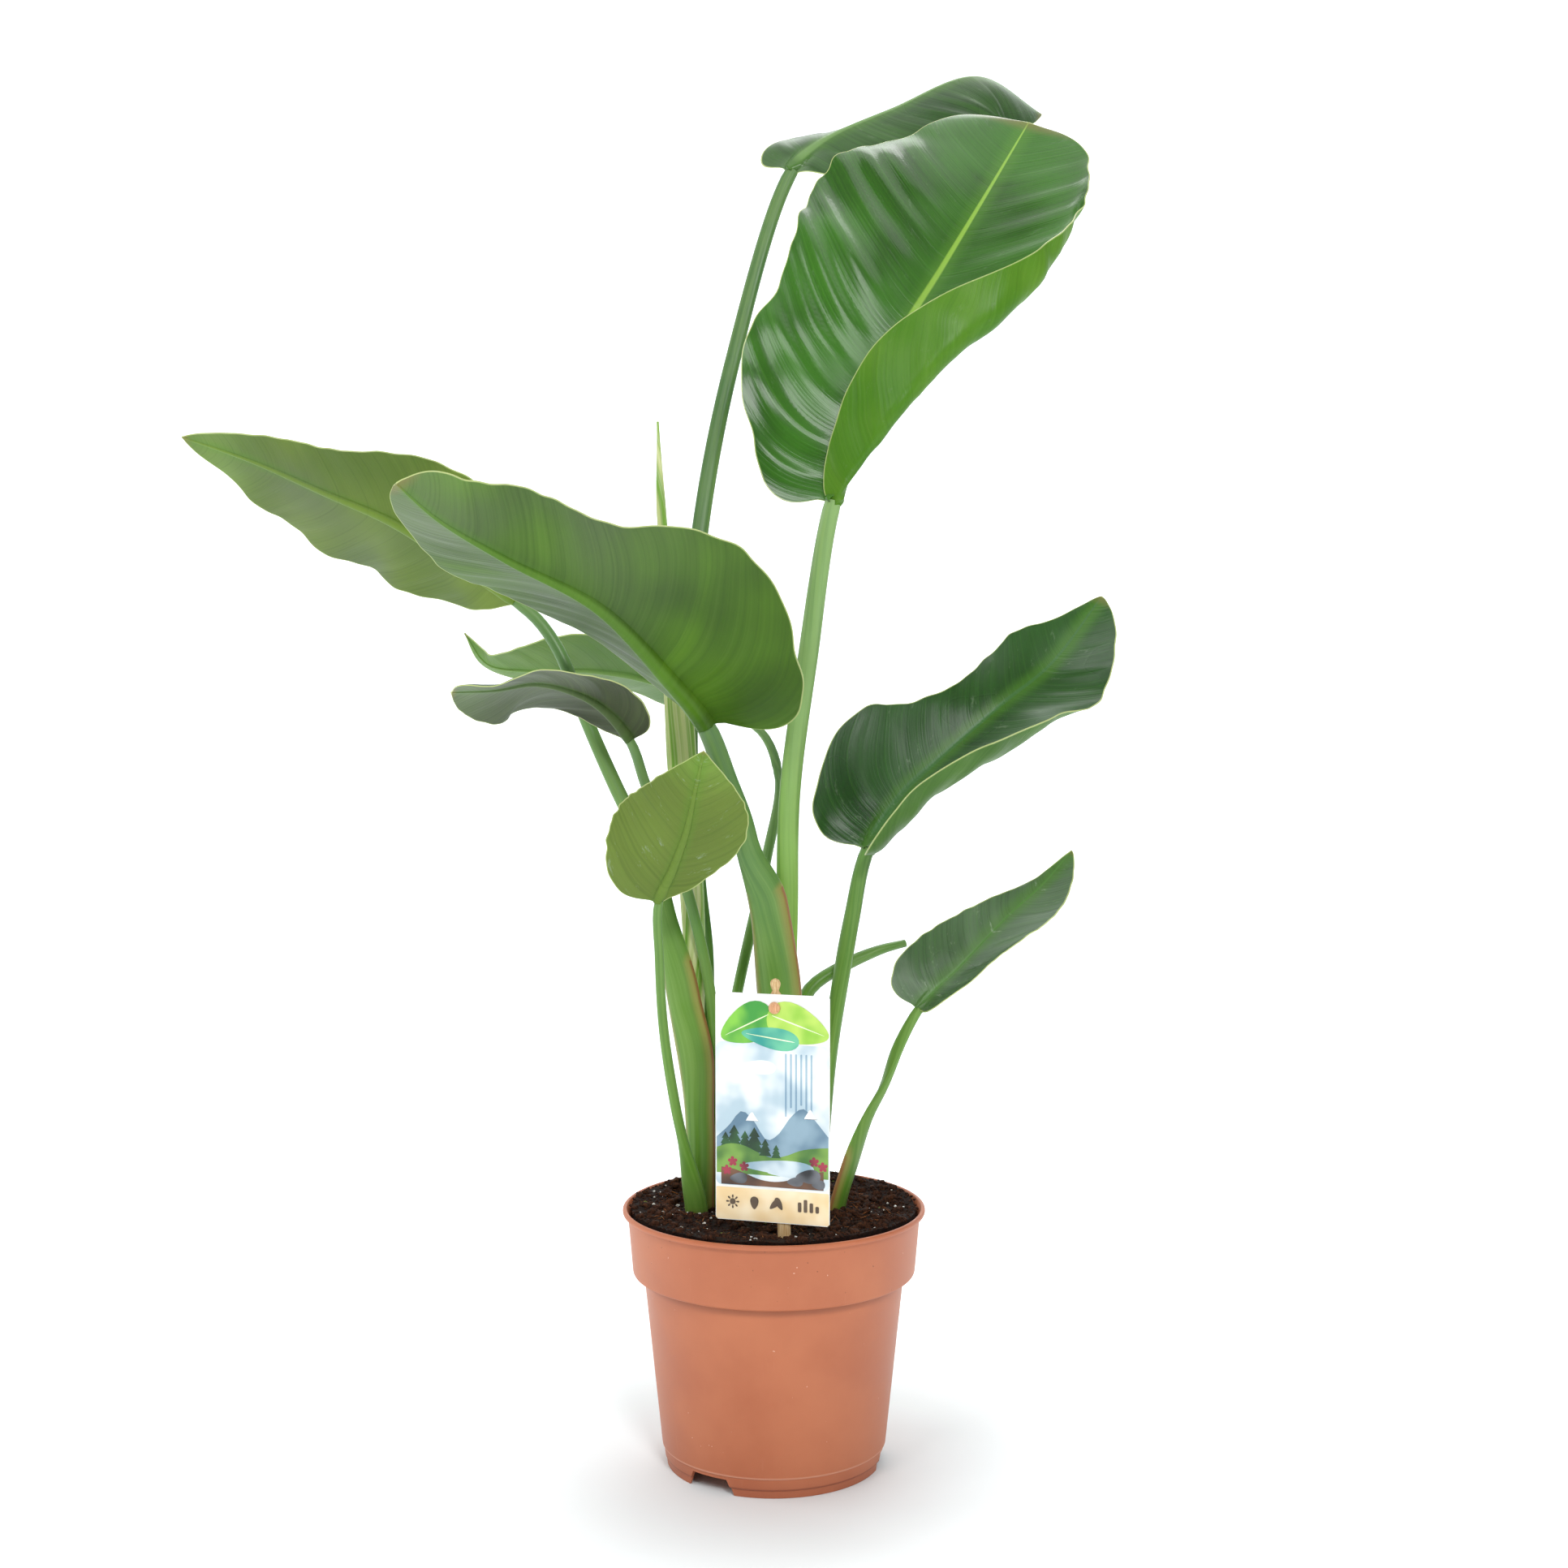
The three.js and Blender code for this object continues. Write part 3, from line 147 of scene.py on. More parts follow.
# Each leaf: the foot of its stalk, the route from there to the tip, and the number of the route's
# point, counted from 0, where the blade begins; rows of distance, half widths left and right, half
# depth and hollow of the stalk; where the stalk opens and where the blade's upper side looks; the
# outline's shape and how far its lobes reach back. Each half has its width, what that is
# multiplied by from base to tip, the angles of fold, cup, curl and roll, how far out the roll is
# hinged, and the height, count and start of its waves. The skin names the greens that it wears,
# and pleat is how high its pleats stand.
LEAVES = [
    dict(
        name="leaf_1", foot=(-52, 13), joint=7, opens=(0.1, -1, 0), skin="silvery", pleat=1.4,
        route=[(-49, 16, 265), (-48, 22, 349), (-54, 32, 402), (-60, 48, 482), (-59, 62, 565),
               (-53, 84, 653), (-30.5, 120, 776), (12, 150, 917), (34, 156, 941), (88, 168, 968),
               (154, 188, 996), (204, 206, 972)],
        section=[(0, 5, 5, 5, 0), (60, 5, 5, 5, 0.1), (300, 6.3, 6.3, 5, 0.2), (800, 5.8, 5.8, 4.5, 0.1)],
        face=[(-0.5, -0.8, 0.3), (-0.1, -0.3, 0.9), (0.1, 0, 0.95), (0.3, 0, 0.9), (0.6, 0, 0.7)],
        shape=(0.42, 0.7), lobe=(1.0, 0.6),
        left=dict(width=62, by=(0.85, 0.68, 0.62, 0.6, 0.62, 0.85, 1.5, 2.8, 5),
                  fold=(15, -15, -18, -20), cup=(0, -20, -30), wave=(3, 2, 0.1)),
        right=dict(width=72, by=(0.3, 0.75, 1, 1.1, 1.4), fold=(0, -35, -35, -20),
                   cup=(-20, -35, -40), wave=(3, 2, 0.4)),
    ),
    dict(
        name="leaf_2", foot=(4, 3), joint=4, opens=(0.3, -1, 0), skin="glossy", pleat=3.4,
        route=[(6, 3, 285), (9, 1, 382), (11, -2, 467), (23, -4, 559), (40, -5, 665), (59, -2, 714),
               (83, 15, 774), (116, 42, 829), (148, 72, 883), (184, 112, 945)],
        section=[(0, 7, 7, 6, 0), (200, 8, 8, 6.5, 0.1), (400, 7, 7, 6, 0.15), (560, 6, 6, 5, 0.1)],
        face=[(-0.35, -0.85, 0.3), (-0.3, -0.87, 0.4), (-0.25, -0.87, 0.45), (-0.1, -0.85, 0.5)],
        shape=(0.42, 0.4), lobe=(0.85, 0.3),
        left=dict(width=118, by=(0.75, 0.8, 0.99, 0.92, 1.02, 1.15, 1.16, 1.02, 1.1),
                  fold=(5, 5, 0), cup=(10, -10, -25), wave=(3.5, 4, 0.3)),
        right=dict(pleat=1.6, width=108, by=(0.5, 0.74, 0.99, 1.02, 0.96, 0.88, 0.8, 0.77, 0.9),
                   fold=(20, 5, 0, 0, 0), cup=(10, 10, 10, 0, -10), roll=(160, 168, 120, 65, 0),
                   hinge=(0.36, 0.45, 0.76, 0.88, 0.95), wave=(0, 1, 0)),
    ),
    dict(
        name="leaf_3", foot=(4, 0), joint=6, opens=(0.1, 1, 0), skin="mature", pleat=1.3,
        route=[(4, -1, 259), (0, -4, 333), (-9, -12, 397), (-17, -19, 429), (-22.5, -22, 452),
               (-31, -25, 476), (-45, -30, 514), (-70, -50, 547), (-113, -85, 593),
               (-168, -120, 623), (-207, -140, 647), (-231, -152, 669)],
        section=[(0, 13, 13, 11, 0.8), (100, 15, 14, 12, 0.8), (190, 19, 12, 12, 0.82),
                 (255, 18, 9, 10.5, 0.75), (300, 8.5, 8.5, 8, 0.2), (400, 7, 7, 6.5, 0.1)],
        face=[(0.3, 0.7, 0.5), (0.2, 0.6, 0.7), (0.1, 0.6, 0.8), (0, 0.5, 0.85)],
        shape=(0.42, 0.55), lobe=(1.05, 0.4),
        left=dict(width=78, by=(1.3, 1.27, 1.4, 1.17, 0.8, 0.76, 0.8, 0.86, 1.2),
                  fold=(5, 20, 20, 20, 10), cup=(10, 0, 0, 0, -20), wave=(2.5, 3, 0.2)),
        right=dict(width=76, by=(1, 1), fold=(45, 32, 25, 20, 20), cup=(0, -5, -10, 0, 0),
                   wave=(2.5, 3, 0.6)),
    ),
    dict(
        name="leaf_4", foot=(-52, -2), joint=10, opens=(0.3, 0.95, 0), skin="sunlit", pleat=1.2,
        route=[(-51.5, -3, 237), (-56, -2, 287), (-65, -1, 326), (-72, 0, 370), (-79, 3, 409),
               (-92, 7, 437), (-109, 14, 470), (-132, 22, 521), (-149, 30, 563), (-164, 35, 585),
               (-180, 38, 599), (-225, 46, 628), (-270, 55, 655), (-319, 64, 676), (-372, 72, 699),
               (-424, 80, 717)],
        section=[(0, 11, 9, 7, 0.8), (100, 11, 10, 7.5, 0.8), (150, 15, 11.5, 8, 0.82),
                 (190, 15, 9, 8, 0.8), (262, 5.5, 5.5, 6, 0.3), (480, 4.5, 4.5, 4.5, 0.1)],
        face=[(0, 0.7, 0.7), (-0.1, 0.65, 0.75), (-0.1, 0.65, 0.75), (-0.1, 0.65, 0.75)],
        shape=(0.45, 0.85), lobe=(0.4, 0.4),
        left=dict(width=54, by=(1.25, 1.2, 0.84, 0.74, 0.9), fold=(15, 15, 10), cup=(10, 5, 0),
                  wave=(2, 3, 0.1)),
        right=dict(width=62, by=(0.35, 0.96, 1.2, 1.13, 1.15), fold=(5, 5, 0), wave=(3.5, 4.5, 0.3)),
    ),
    dict(
        name="leaf_5", foot=(-41, 1.5), joint=6, opens=(0.5, 0.85, 0), skin="greyed", pleat=1.6,
        route=[(-40, 1, 240), (-41, 0, 290), (-44, -2, 330), (-52, -4, 372), (-66, -8, 422),
               (-87, -14, 474), (-97, -20, 504), (-116, -24, 527), (-136, -30, 538),
               (-159, -36, 543), (-186, -42, 539), (-214, -49, 538)],
        section=[(0, 4, 4, 4, 0), (60, 4, 4, 4, 0.1), (300, 4, 4, 4, 0.15), (380, 3.5, 3.5, 3.5, 0.1)],
        face=[(0.2, 0.65, 0.7), (0, 0.45, 0.9), (-0.1, 0.35, 0.95), (-0.1, 0.3, 0.95)],
        shape=(0.42, 0.62), lobe=(0.5, 0.5),
        left=dict(width=50, by=(0.7, 0.8, 0.85, 0.9, 2.4), fold=(10, 0, 0), cup=(0, -20, -20),
                  wave=(2, 2, 0.1)),
        right=dict(width=46, by=(0.3, 0.7, 1.15, 1.5, 1.4), fold=(15, 5, 0), cup=(0, -10, -20),
                   wave=(2, 2, 0.4)),
    ),
    dict(
        name="leaf_6", foot=(-42.5, 11), joint=5, opens=(-0.5, -0.8, 0), skin="young", pleat=0.8,
        route=[(-38, 24, 262), (-26, 40, 324), (-6, 58, 415), (3, 76, 472), (-8, 88, 504),
               (-38, 98, 522), (-91, 106, 542), (-135, 111, 549), (-182, 116, 549),
               (-212, 119, 554), (-229, 121, 577)],
        section=[(0, 4, 4, 4, 0), (60, 4, 4, 4, 0.1), (300, 4, 4, 4, 0.15), (420, 3, 3, 3, 0.1)],
        face=[(0, 0.6, 0.7), (0, 0.5, 0.8), (0, 0.5, 0.85)],
        shape=(0.45, 0.9), lobe=(0.5, 0.5),
        left=dict(width=36, by=(1, 1, 1.15, 1.2, 0.8), fold=(10, 10, 0), wave=(2, 2, 0.2)),
        right=dict(width=36, by=(1, 1, 0.95, 0.8, 0.5), fold=(10, 10, 0), wave=(2, 2, 0.5)),
    ),
    dict(
        name="leaf_7", foot=(-53, -12.5), joint=4, opens=(0.2, 1, 0), skin="olive", pleat=0.5,
        route=[(-58.5, -20, 212), (-67, -32, 258), (-74, -45, 313), (-76, -56, 362),
               (-76, -62, 399), (-66, -68, 422), (-57, -74, 447), (-51, -78, 474), (-45, -80, 501)],
        section=[(0, 9, 9, 3.5, 0.3), (45, 8, 8, 4, 0.4), (100, 3.6, 3.6, 3.6, 0.2), (265, 3, 3, 3, 0.1)],
        face=[(0.1, 0.9, 0.3), (0.1, 0.9, 0.3)],
        shape=(0.45, 0.8), lobe=(0.5, 0.5),
        left=dict(width=43, by=(0.2, 0.58, 0.97, 1.0, 0.8), fold=(10, 5, 0), cup=(10, 10, 0),
                  wave=(2, 1.5, 0.2)),
        right=dict(width=51, by=(1.0, 1.03, 0.95, 0.78, 0.6), fold=(10, 5, 0), cup=(10, 10, 0),
                   wave=(2, 1.5, 0.6)),
    ),
    dict(
        name="leaf_8", foot=(30, 4), joint=4, opens=(-0.8, -0.5, 0), skin="dark", pleat=1.3,
        route=[(34, 6, 245), (38, 8, 285), (44, 10, 324), (54, 14, 379), (65, 18, 426),
               (89, 20, 465), (113, 22, 488), (159, 32, 527), (195, 45, 555), (233, 60, 603)],
        section=[(0, 7, 7, 6, 0), (100, 7, 7, 6, 0.15), (200, 6.5, 6.5, 6, 0.15), (300, 5, 5, 5, 0.1)],
        face=[(-0.4, -0.8, 0.3), (-0.3, -0.75, 0.6), (-0.3, -0.75, 0.6), (-0.3, -0.75, 0.6)],
        shape=(0.42, 0.62), lobe=(0.6, 0.6),
        left=dict(width=54, by=(1.35, 1.36, 1.48, 0.92, 0.74, 0.92, 1.08, 0.76, 0.6),
                  fold=(5, 5, 0), cup=(10, -10, -15), wave=(2.5, 2.5, 0.2)),
        right=dict(width=66, by=(1, 1.24, 1.22, 0.92, 0.9), fold=(15, 12, 5, 0, 0),
                   cup=(80, 60, 35, 0, 0), curl=(40, 40, 40, 0, 0), wave=(2, 3, 0.5)),
    ),
    dict(
        name="leaf_9", foot=(41, -5), joint=4, opens=(-0.9, 0.4, 0), skin="scuffed", pleat=1.0,
        route=[(50, -7, 210), (62, -6, 241), (75, -4, 266), (87, -2, 294), (100, 0, 317),
               (112, 2, 331), (127, 6, 344), (162, 14, 379), (188, 20, 402), (209, 28, 425)],
        section=[(0, 12, 10.5, 7.5, 0.75), (70, 11.5, 9.5, 7.5, 0.7), (120, 5.5, 5.5, 5, 0.4),
                 (205, 3.2, 3.2, 3.2, 0)],
        face=[(-0.3, -0.8, 0.4), (-0.3, -0.7, 0.6), (-0.3, -0.7, 0.6)],
        shape=(0.42, 0.62), lobe=(0.5, 0.5),
        left=dict(width=34, by=(1.4, 1.22, 0.76, 0.45, 0.2), fold=(5, 5, 0), cup=(0, -10, -10),
                  wave=(1.5, 2, 0.2)),
        right=dict(width=33, by=(1, 1.12, 1.24, 1.2, 0.8), fold=(30, 20, 5), cup=(40, 20, 0),
                   wave=(1.5, 2, 0.5)),
    ),
]

SPEAR = dict(
    name="spear", foot=(-50.5, 3), opens=(0.3, -0.95, 0),
    route=[(-53, 4, 285), (-57, 10, 397), (-64, 20, 485), (-69, 28, 566), (-78, 35, 656),
           (-81, 40, 724)],
    section=[(0, 4.5, 4.5, 4.5, 0), (150, 5.5, 5.5, 5, 0), (260, 8.5, 8.5, 6, 0),
             (350, 10.5, 10.5, 7, 0), (395, 10, 10, 7, 0), (440, 7, 7, 5, 0), (520, 3.5, 3.5, 3, 0),
             (590, 0.8, 0.8, 0.8, 0)],
)
CUT_STALK = dict(
    name="cut_stalk", foot=(13, 14), opens=(-0.5, -0.2, 0.8),
    route=[(12, 15, 248), (14, 18, 296), (24, 22, 327), (48, 30, 343), (75, 36, 354), (93, 40, 358)],
    section=[(0, 5, 5, 5, 0), (150, 6, 6, 5.5, 0.1), (225, 5.2, 5.2, 4.8, 0.1), (275, 3, 3, 2.8, 0.1)],
)

# What the leaves wear: deep and light green above, deep and light green below, green of the rib
# above, roughness above and below, and share of pale scuff marks
SKINS = {
    "glossy": ("#1C4404", "#3C7814", "#3F7414", "#68922A", "#8EBA44", 0.18, 0.38, 0.1),
    "mature": ("#22461A", "#466E32", "#2A460A", "#5C861A", "#7E9C5A", 0.36, 0.42, 0.0),
    "sunlit": ("#2C5A1E", "#5C8A38", "#50681E", "#7E943A", "#9CC24A", 0.36, 0.46, 0.0),
    "silvery": ("#284820", "#4A6C3A", "#2C4A22", "#50703C", "#6E9450", 0.3, 0.4, 0.1),
    "greyed": ("#27421F", "#4F6A40", "#262E18", "#4C5634", "#7E9C5A", 0.45, 0.5, 0.0),
    "young": ("#3C6A30", "#6F944E", "#507434", "#7A9850", "#9CC24A", 0.36, 0.46, 0.0),
    "olive": ("#3A5A24", "#5F7F3A", "#5A6C28", "#72883A", "#8CAA4A", 0.4, 0.46, 0.5),
    "dark": ("#1C3A18", "#37602C", "#3A5E24", "#5A8038", "#44703A", 0.3, 0.46, 0.2),
    "scuffed": ("#36522F", "#6A8262", "#3A5E24", "#5A8038", "#5E8A46", 0.3, 0.46, 0.6),
}
LEAF_DEPTHS = (0.5, 1.0, 0.2)


def linear(colour):
    """Linear light of an sRGB hex colour."""
    channels = [int(colour[i:i + 2], 16) / 255 for i in (1, 3, 5)]
    return (*[c / 12.92 if c <= 0.04045 else ((c + 0.055) / 1.055) ** 2.4 for c in channels], 1)


def node(tree, kind, inputs=None, **settings):
    """Adds a node. A socket among the inputs is linked, anything else is set as its value."""
    made = tree.nodes.new(kind)
    for name, value in settings.items():
        setattr(made, name, value)
    for name, value in (inputs or {}).items():
        if isinstance(value, bpy.types.NodeSocket):
            tree.links.new(value, made.inputs[name])
        else:
            made.inputs[name].default_value = value
    return made


class Finish:
    """A material, built up from its ground colour by laying one tone over another."""

    def __init__(self, name, ground, uv_map=None, stored=()):
        self.material = bpy.data.materials.new(name)
        self.material.use_nodes = True
        self.tree = self.material.node_tree
        self.tree.nodes.clear()
        self.colour = linear(ground)
        self.place = node(self.tree, "ShaderNodeTexCoord").outputs["Object"]
        if uv_map:
            self.along = node(self.tree, "ShaderNodeUVMap", uv_map=uv_map).outputs["UV"]
        self.stored = [node(self.tree, "ShaderNodeAttribute", attribute_name=key).outputs["Fac"]
                       for key in stored]

    def pattern(self, place, scale, detail=2.0, roughness=0.5):
        """A random pattern. Its scale is how many spots there are in a metre, along each side."""
        placed = node(self.tree, "ShaderNodeMapping", {
            "Vector": place, "Scale": scale if isinstance(scale, tuple) else (scale,) * 3})
        return node(self.tree, "ShaderNodeTexNoise", {
            "Vector": placed.outputs["Vector"], "Scale": 1.0, "Detail": detail, "Roughness": roughness,
        }).outputs["Fac"]

    def share(self, *ramps):
        """Product of one or two values, each eased from start to end as it goes from low to high."""
        shares = []
        for value, low, high, *ends in ramps:
            start, end = ends or (0.0, 1.0)
            eased = node(self.tree, "ShaderNodeMapRange", {
                "Value": value, "From Min": low, "From Max": high, "To Min": start, "To Max": end,
            }, interpolation_type="SMOOTHSTEP")
            shares.append(eased.outputs["Result"])
        if len(shares) == 1:
            return shares[0]
        return node(self.tree, "ShaderNodeMath", dict(enumerate(shares)),
                    operation="MULTIPLY").outputs[0]

    def lay(self, tone, *ramps):
        """Lays a tone over the colours so far, as strongly as the ramps say."""
        self.colour = node(self.tree, "ShaderNodeMix", {
            0: self.share(*ramps), 6: self.colour, 7: linear(tone)}, data_type="RGBA").outputs[2]

    def done(self, surface, bump=None):
        """The finished material. Bump is a height, its strength and its depth in metres."""
        if bump:
            height, strength, depth = bump
            surface["Normal"] = node(self.tree, "ShaderNodeBump", {
                "Height": height, "Strength": strength, "Distance": depth}).outputs["Normal"]
        shader = node(self.tree, "ShaderNodeBsdfPrincipled", {"Base Color": self.colour, **surface})
        node(self.tree, "ShaderNodeOutputMaterial", {"Surface": shader.outputs["BSDF"]})
        return self.material


def leaf_skin(name, deep, light, rib_green, gloss, scuffs, upper):
    """Living leaf. The upper side has a clear waxy skin that shines in streaks between the veins,
    and the lower side is matt with greyish patches of painted sheen and painted light towards the tip,
    and its veins stand out more."""
    skin = Finish(name, deep, "leaf", ("out", "edge", "grown", "rib"))
    out, edge, grown, rib = skin.stored
    # Real veins stand about 1 mm apart. They are drawn at about 2 mm, so that they show.
    veins = skin.pattern(skin.along, (520, 4, 1), 3)
    bands = skin.pattern(skin.along, (70, 4, 1))
    patches = skin.pattern(skin.place, 14, 1)
    band, ridge_share, groove, pale, glow, glow_reach, rim, relief, shine = (
        (0.4, 0.14, 0.3, "#5E9A34", 0.4, 12, 0.75, 0.35, 0.5) if upper else
        (0.3, 0.06, 0.18, "#8CB058", 0.25, 8, 0.55, 0.5, 0.25))
    skin.lay(light, (patches, 0.25, 0.75, 0.1, 0.8))
    skin.lay(light if upper else deep, (bands, 0.35, 0.7, 0, band))
    if not upper:
        # Painted light: the lower side is painted a lighter yellow-green towards the tip
        skin.lay("#7FA648", (grown, 0.7, 0.95, 0, 0.4))
    if not upper and not scuffs:
        # Painted sheen: greyish patches on the lower side, from the middle of the leaf to its tip
        painted_grey_sheen = skin.pattern(skin.place, 8, 1)
        skin.lay("#5A664E", (painted_grey_sheen, 0.38, 0.6, 0.15, 0.65), (grown, 0.2, 0.6))
    skin.lay(pale, (veins, 0.5, 0.75, 0, ridge_share))
    skin.lay("#1E3A10", (veins, 0.5, 0.28, 0, groove))
    skin.lay("#5A8E26", (out, 1, glow_reach, glow, 0))
    # The midrib's own green, out to where the rib ends and from where it leaves the stalk
    across = node(skin.tree, "ShaderNodeMath", {0: out, 1: rib}, operation="DIVIDE").outputs[0]
    flank = (across, 0.35, 0.8, 1, 0) if upper else (across, 0.5, 1.05, 0.35, 0)
    skin.lay(rib_green, flank, (grown, 0.02, 0.07))
    if scuffs:
        marks = skin.pattern(skin.along, (120, 55, 1), 4, 0.7)
        skin.lay("#A3B198", (marks, 0.6, 0.72, 0, scuffs))
    # The tip dries brown, and the margin is a thin pale line
    skin.lay("#8A7A48", (grown, 0.965, 1, 0, 0.6))
    skin.lay("#CFD694", (edge, 0.4, 1, rim, 0))
    height = node(skin.tree, "ShaderNodeMath", {0: veins, 1: bands}, operation="ADD").outputs[0]
    return skin.done({
        "Roughness": skin.share((patches, 0.3, 0.7, gloss - 0.05, gloss + 0.07)), "IOR": 1.45,
        "Subsurface Weight": 0.22, "Subsurface Radius": LEAF_DEPTHS, "Subsurface Scale": 0.002,
        "Coat Weight": 0.15 if upper and gloss < 0.3 else 0.0, "Coat Roughness": 0.12,
        "Specular IOR Level": shine,
    }, (height, relief, 0.0006))


def stalk_skin(name, low, high, margin):
    """Living stalk. Smooth satin skin with fine lengthwise fibres, brighter near the soil and
    greyed higher up by a thin bloom, with a dry reddish edge where it opens as a sheath."""
    skin = Finish(name, low, "stalk", ("up", "edge"))
    up, edge = skin.stored
    fibres = skin.pattern(skin.along, (420, 7, 1), 3)
    patches = skin.pattern(skin.place, 22)
    skin.lay(high, (up, 120, 420))
    skin.lay("#7C9A50", (patches, 0.3, 0.7, 0, 0.35))
    skin.lay("#98B664", (fibres, 0.45, 0.75, 0, 0.25))
    skin.lay("#2E5A26", (fibres, 0.5, 0.25, 0, 0.3))
    skin.lay("#A89450", (edge, 0.55, 0.92, 0, 0.6))
    skin.lay(margin, (edge, 0.9, 0.99, 0, 0.85))
    skin.lay("#5A4426", (up, 34, 44, 0.75, 0))
    return skin.done({
        "Roughness": skin.share((patches, 0.3, 0.7, 0.36, 0.5)), "IOR": 1.45,
        "Subsurface Weight": 0.15, "Subsurface Radius": LEAF_DEPTHS, "Subsurface Scale": 0.003,
    }, (fibres, 0.3, 0.0004))


def rolled_leaf_skin():
    """Unopened leaf. Pale green rolled sheet with cream stripes lengthwise, ochre where it ages."""
    skin = Finish("rolled_young_leaf", "#7FB03C", "stalk", ("turn", "up"))
    turn, up = skin.stored
    fibres = skin.pattern(skin.along, (520, 4, 1))
    skin.lay("#D3DC98", (skin.pattern(skin.along, (190, 1.5, 1), 1), 0.42, 0.58))
    skin.lay("#F0EFC8", (fibres, 0.5, 0.7, 0, 0.5))
    skin.lay("#6C9A3C", (fibres, 0.46, 0.3, 0, 0.5))
    skin.lay("#C3A552", (turn, 0.16, 0.3, 0.75, 0), (up, 470, 380))
    skin.lay("#5A4426", (up, 34, 44, 0.75, 0))
    return skin.done({
        "Roughness": 0.42, "IOR": 1.45, "Subsurface Weight": 0.2,
        "Subsurface Radius": (0.8, 1.0, 0.4), "Subsurface Scale": 0.003,
    }, (fibres, 0.4, 0.0005))


def dry_cut_material():
    """Dried cut end of a stalk: brown, dull and rough."""
    end = Finish("dried_cut_end", "#4A3018")
    grain = end.pattern(end.place, 900, 4)
    end.colour = node(end.tree, "ShaderNodeMix", {0: grain, 6: end.colour, 7: linear("#A88A5A")},
                      data_type="RGBA").outputs[2]
    return end.done({"Roughness": 0.85}, (grain, 0.8, 0.0006))


def pot_plastic():
    """Moulded polypropylene, filled terracotta colour. Even and matt, with fine grain from the
    mould, faint rubbed marks, and specks of splashed soil that show more towards the rim."""
    plastic = Finish("moulded_polypropylene", "#B76743")
    height = node(plastic.tree, "ShaderNodeSeparateXYZ", {"Vector": plastic.place}).outputs["Z"]
    clouds = plastic.pattern(plastic.place, 16, 4)
    rubbed = plastic.pattern(plastic.place, (260, 260, 30), 3)
    dirt = plastic.pattern(plastic.place, 420, 1)
    chips = plastic.pattern(plastic.place, 520, 0)
    plastic.lay("#C3744F", (clouds, 0.3, 0.7))
    plastic.lay("#E0A488", (rubbed, 0.66, 0.85, 0, 0.08))
    plastic.lay("#5A3220", (dirt, 0.77, 0.82), (height, 0.1, 0.178, 0, 0.8))
    plastic.lay("#F0CDB8", (chips, 0.88, 0.91, 0, 0.5))
    # Rings at heights in metres: painted shade in the corner under the collar, a painted highlight on the
    # ledge over the foot ring, and painted shade in the groove round that ring and under the lip
    for tone, low, peak, high, strength in (("#7A3A24", 0.1265, 0.1335, 0.1352, 0.5),
                                            ("#E8B095", 0.0128, 0.0142, 0.0156, 0.5),
                                            ("#7A3A24", 0.0048, 0.006, 0.0072, 0.6),
                                            ("#8A4630", 0.1752, 0.1762, 0.177, 0.45)):
        plastic.lay(tone, (height, low, peak, 0, strength), (height, peak, high, 1, 0))
    # Painted shade: the foot is painted darker towards the floor, over its lowest 16 mm
    plastic.lay("#8E4A34", (height, 0, 0.016, 0.25, 0))
    return plastic.done({
        "Roughness": plastic.share((clouds, 0.3, 0.7, 0.44, 0.54)), "IOR": 1.49,
        "Subsurface Weight": 0.08, "Subsurface Radius": (1.0, 0.5, 0.3), "Subsurface Scale": 0.002,
    }, (plastic.pattern(plastic.place, 1400), 0.12, 0.0003))


def crumbly(name, dark, light, scale, rough=0.95):
    """Loose matter such as peat, bark or perlite: dull, uneven in colour from grain to grain."""
    matter = Finish(name, dark)
    grain = matter.pattern(matter.place, scale, 5, 0.7)
    matter.lay(light, (grain, 0.32, 0.7))
    return matter.done({"Roughness": rough, "Specular IOR Level": 0.25}, (grain, 0.8, 0.001))


def turned_wood(name, dark, light):
    """Bare beech: fine straight grain along the stick, dull and slightly fuzzy."""
    wood = Finish(name, dark)
    grain = wood.pattern(wood.place, (1100, 1100, 45), 4, 0.6)
    wood.lay(light, (grain, 0.3, 0.72))
    return wood.done({"Roughness": 0.62, "IOR": 1.5}, (grain, 0.3, 0.0004))


def coated_card():
    """Coated white card: a smooth satin sheet with a very slight mottle."""
    card = Finish("coated_card", "#ECEBE6")
    mottle = card.pattern(card.place, 90, 3)
    card.lay("#F7F6F2", (mottle, 0.3, 0.7))
    return card.done({"Roughness": card.share((mottle, 0.3, 0.7, 0.28, 0.36))})


def printed_ink(name, first, second):
    """Satin printing ink that runs softly from one tone to another."""
    ink = Finish(name, first)
    ink.lay(second, (ink.pattern(ink.place, 40), 0.36, 0.64))
    return ink.done({"Roughness": 0.3})


def smooth(value):
    """Eases from 0 to 1 as the value does."""
    t = np.clip(value, 0, 1)
    return t * t * (3 - 2 * t)


def with_ends(points):
    """Points with one more before the first and after the last, in line with their neighbours."""
    return np.array([2 * points[0] - points[1], *points, 2 * points[-1] - points[-2]])


def mix(stations, u):
    """Smooth curve through evenly spaced stations, at each u from 0 to 1."""
    stations = np.asarray(stations, float)
    ends = with_ends(stations)
    last = len(stations) - 1
    x = np.clip(np.asarray(u) * last, 0, last - 1e-9)
    i = np.floor(x).astype(int)
    t = x - i
    if stations.ndim > 1:
        t = t[:, None]
    a, b, c, d = ends[i], ends[i + 1], ends[i + 2], ends[i + 3]
    return 0.5 * (2 * b + (c - a) * t + (2 * a - 5 * b + 4 * c - d) * t ** 2
                  + (3 * b - a - 3 * c + d) * t ** 3)


def unit(vectors):
    """Vectors of length 1 with the same directions."""
    return vectors / np.linalg.norm(vectors, axis=-1, keepdims=True)


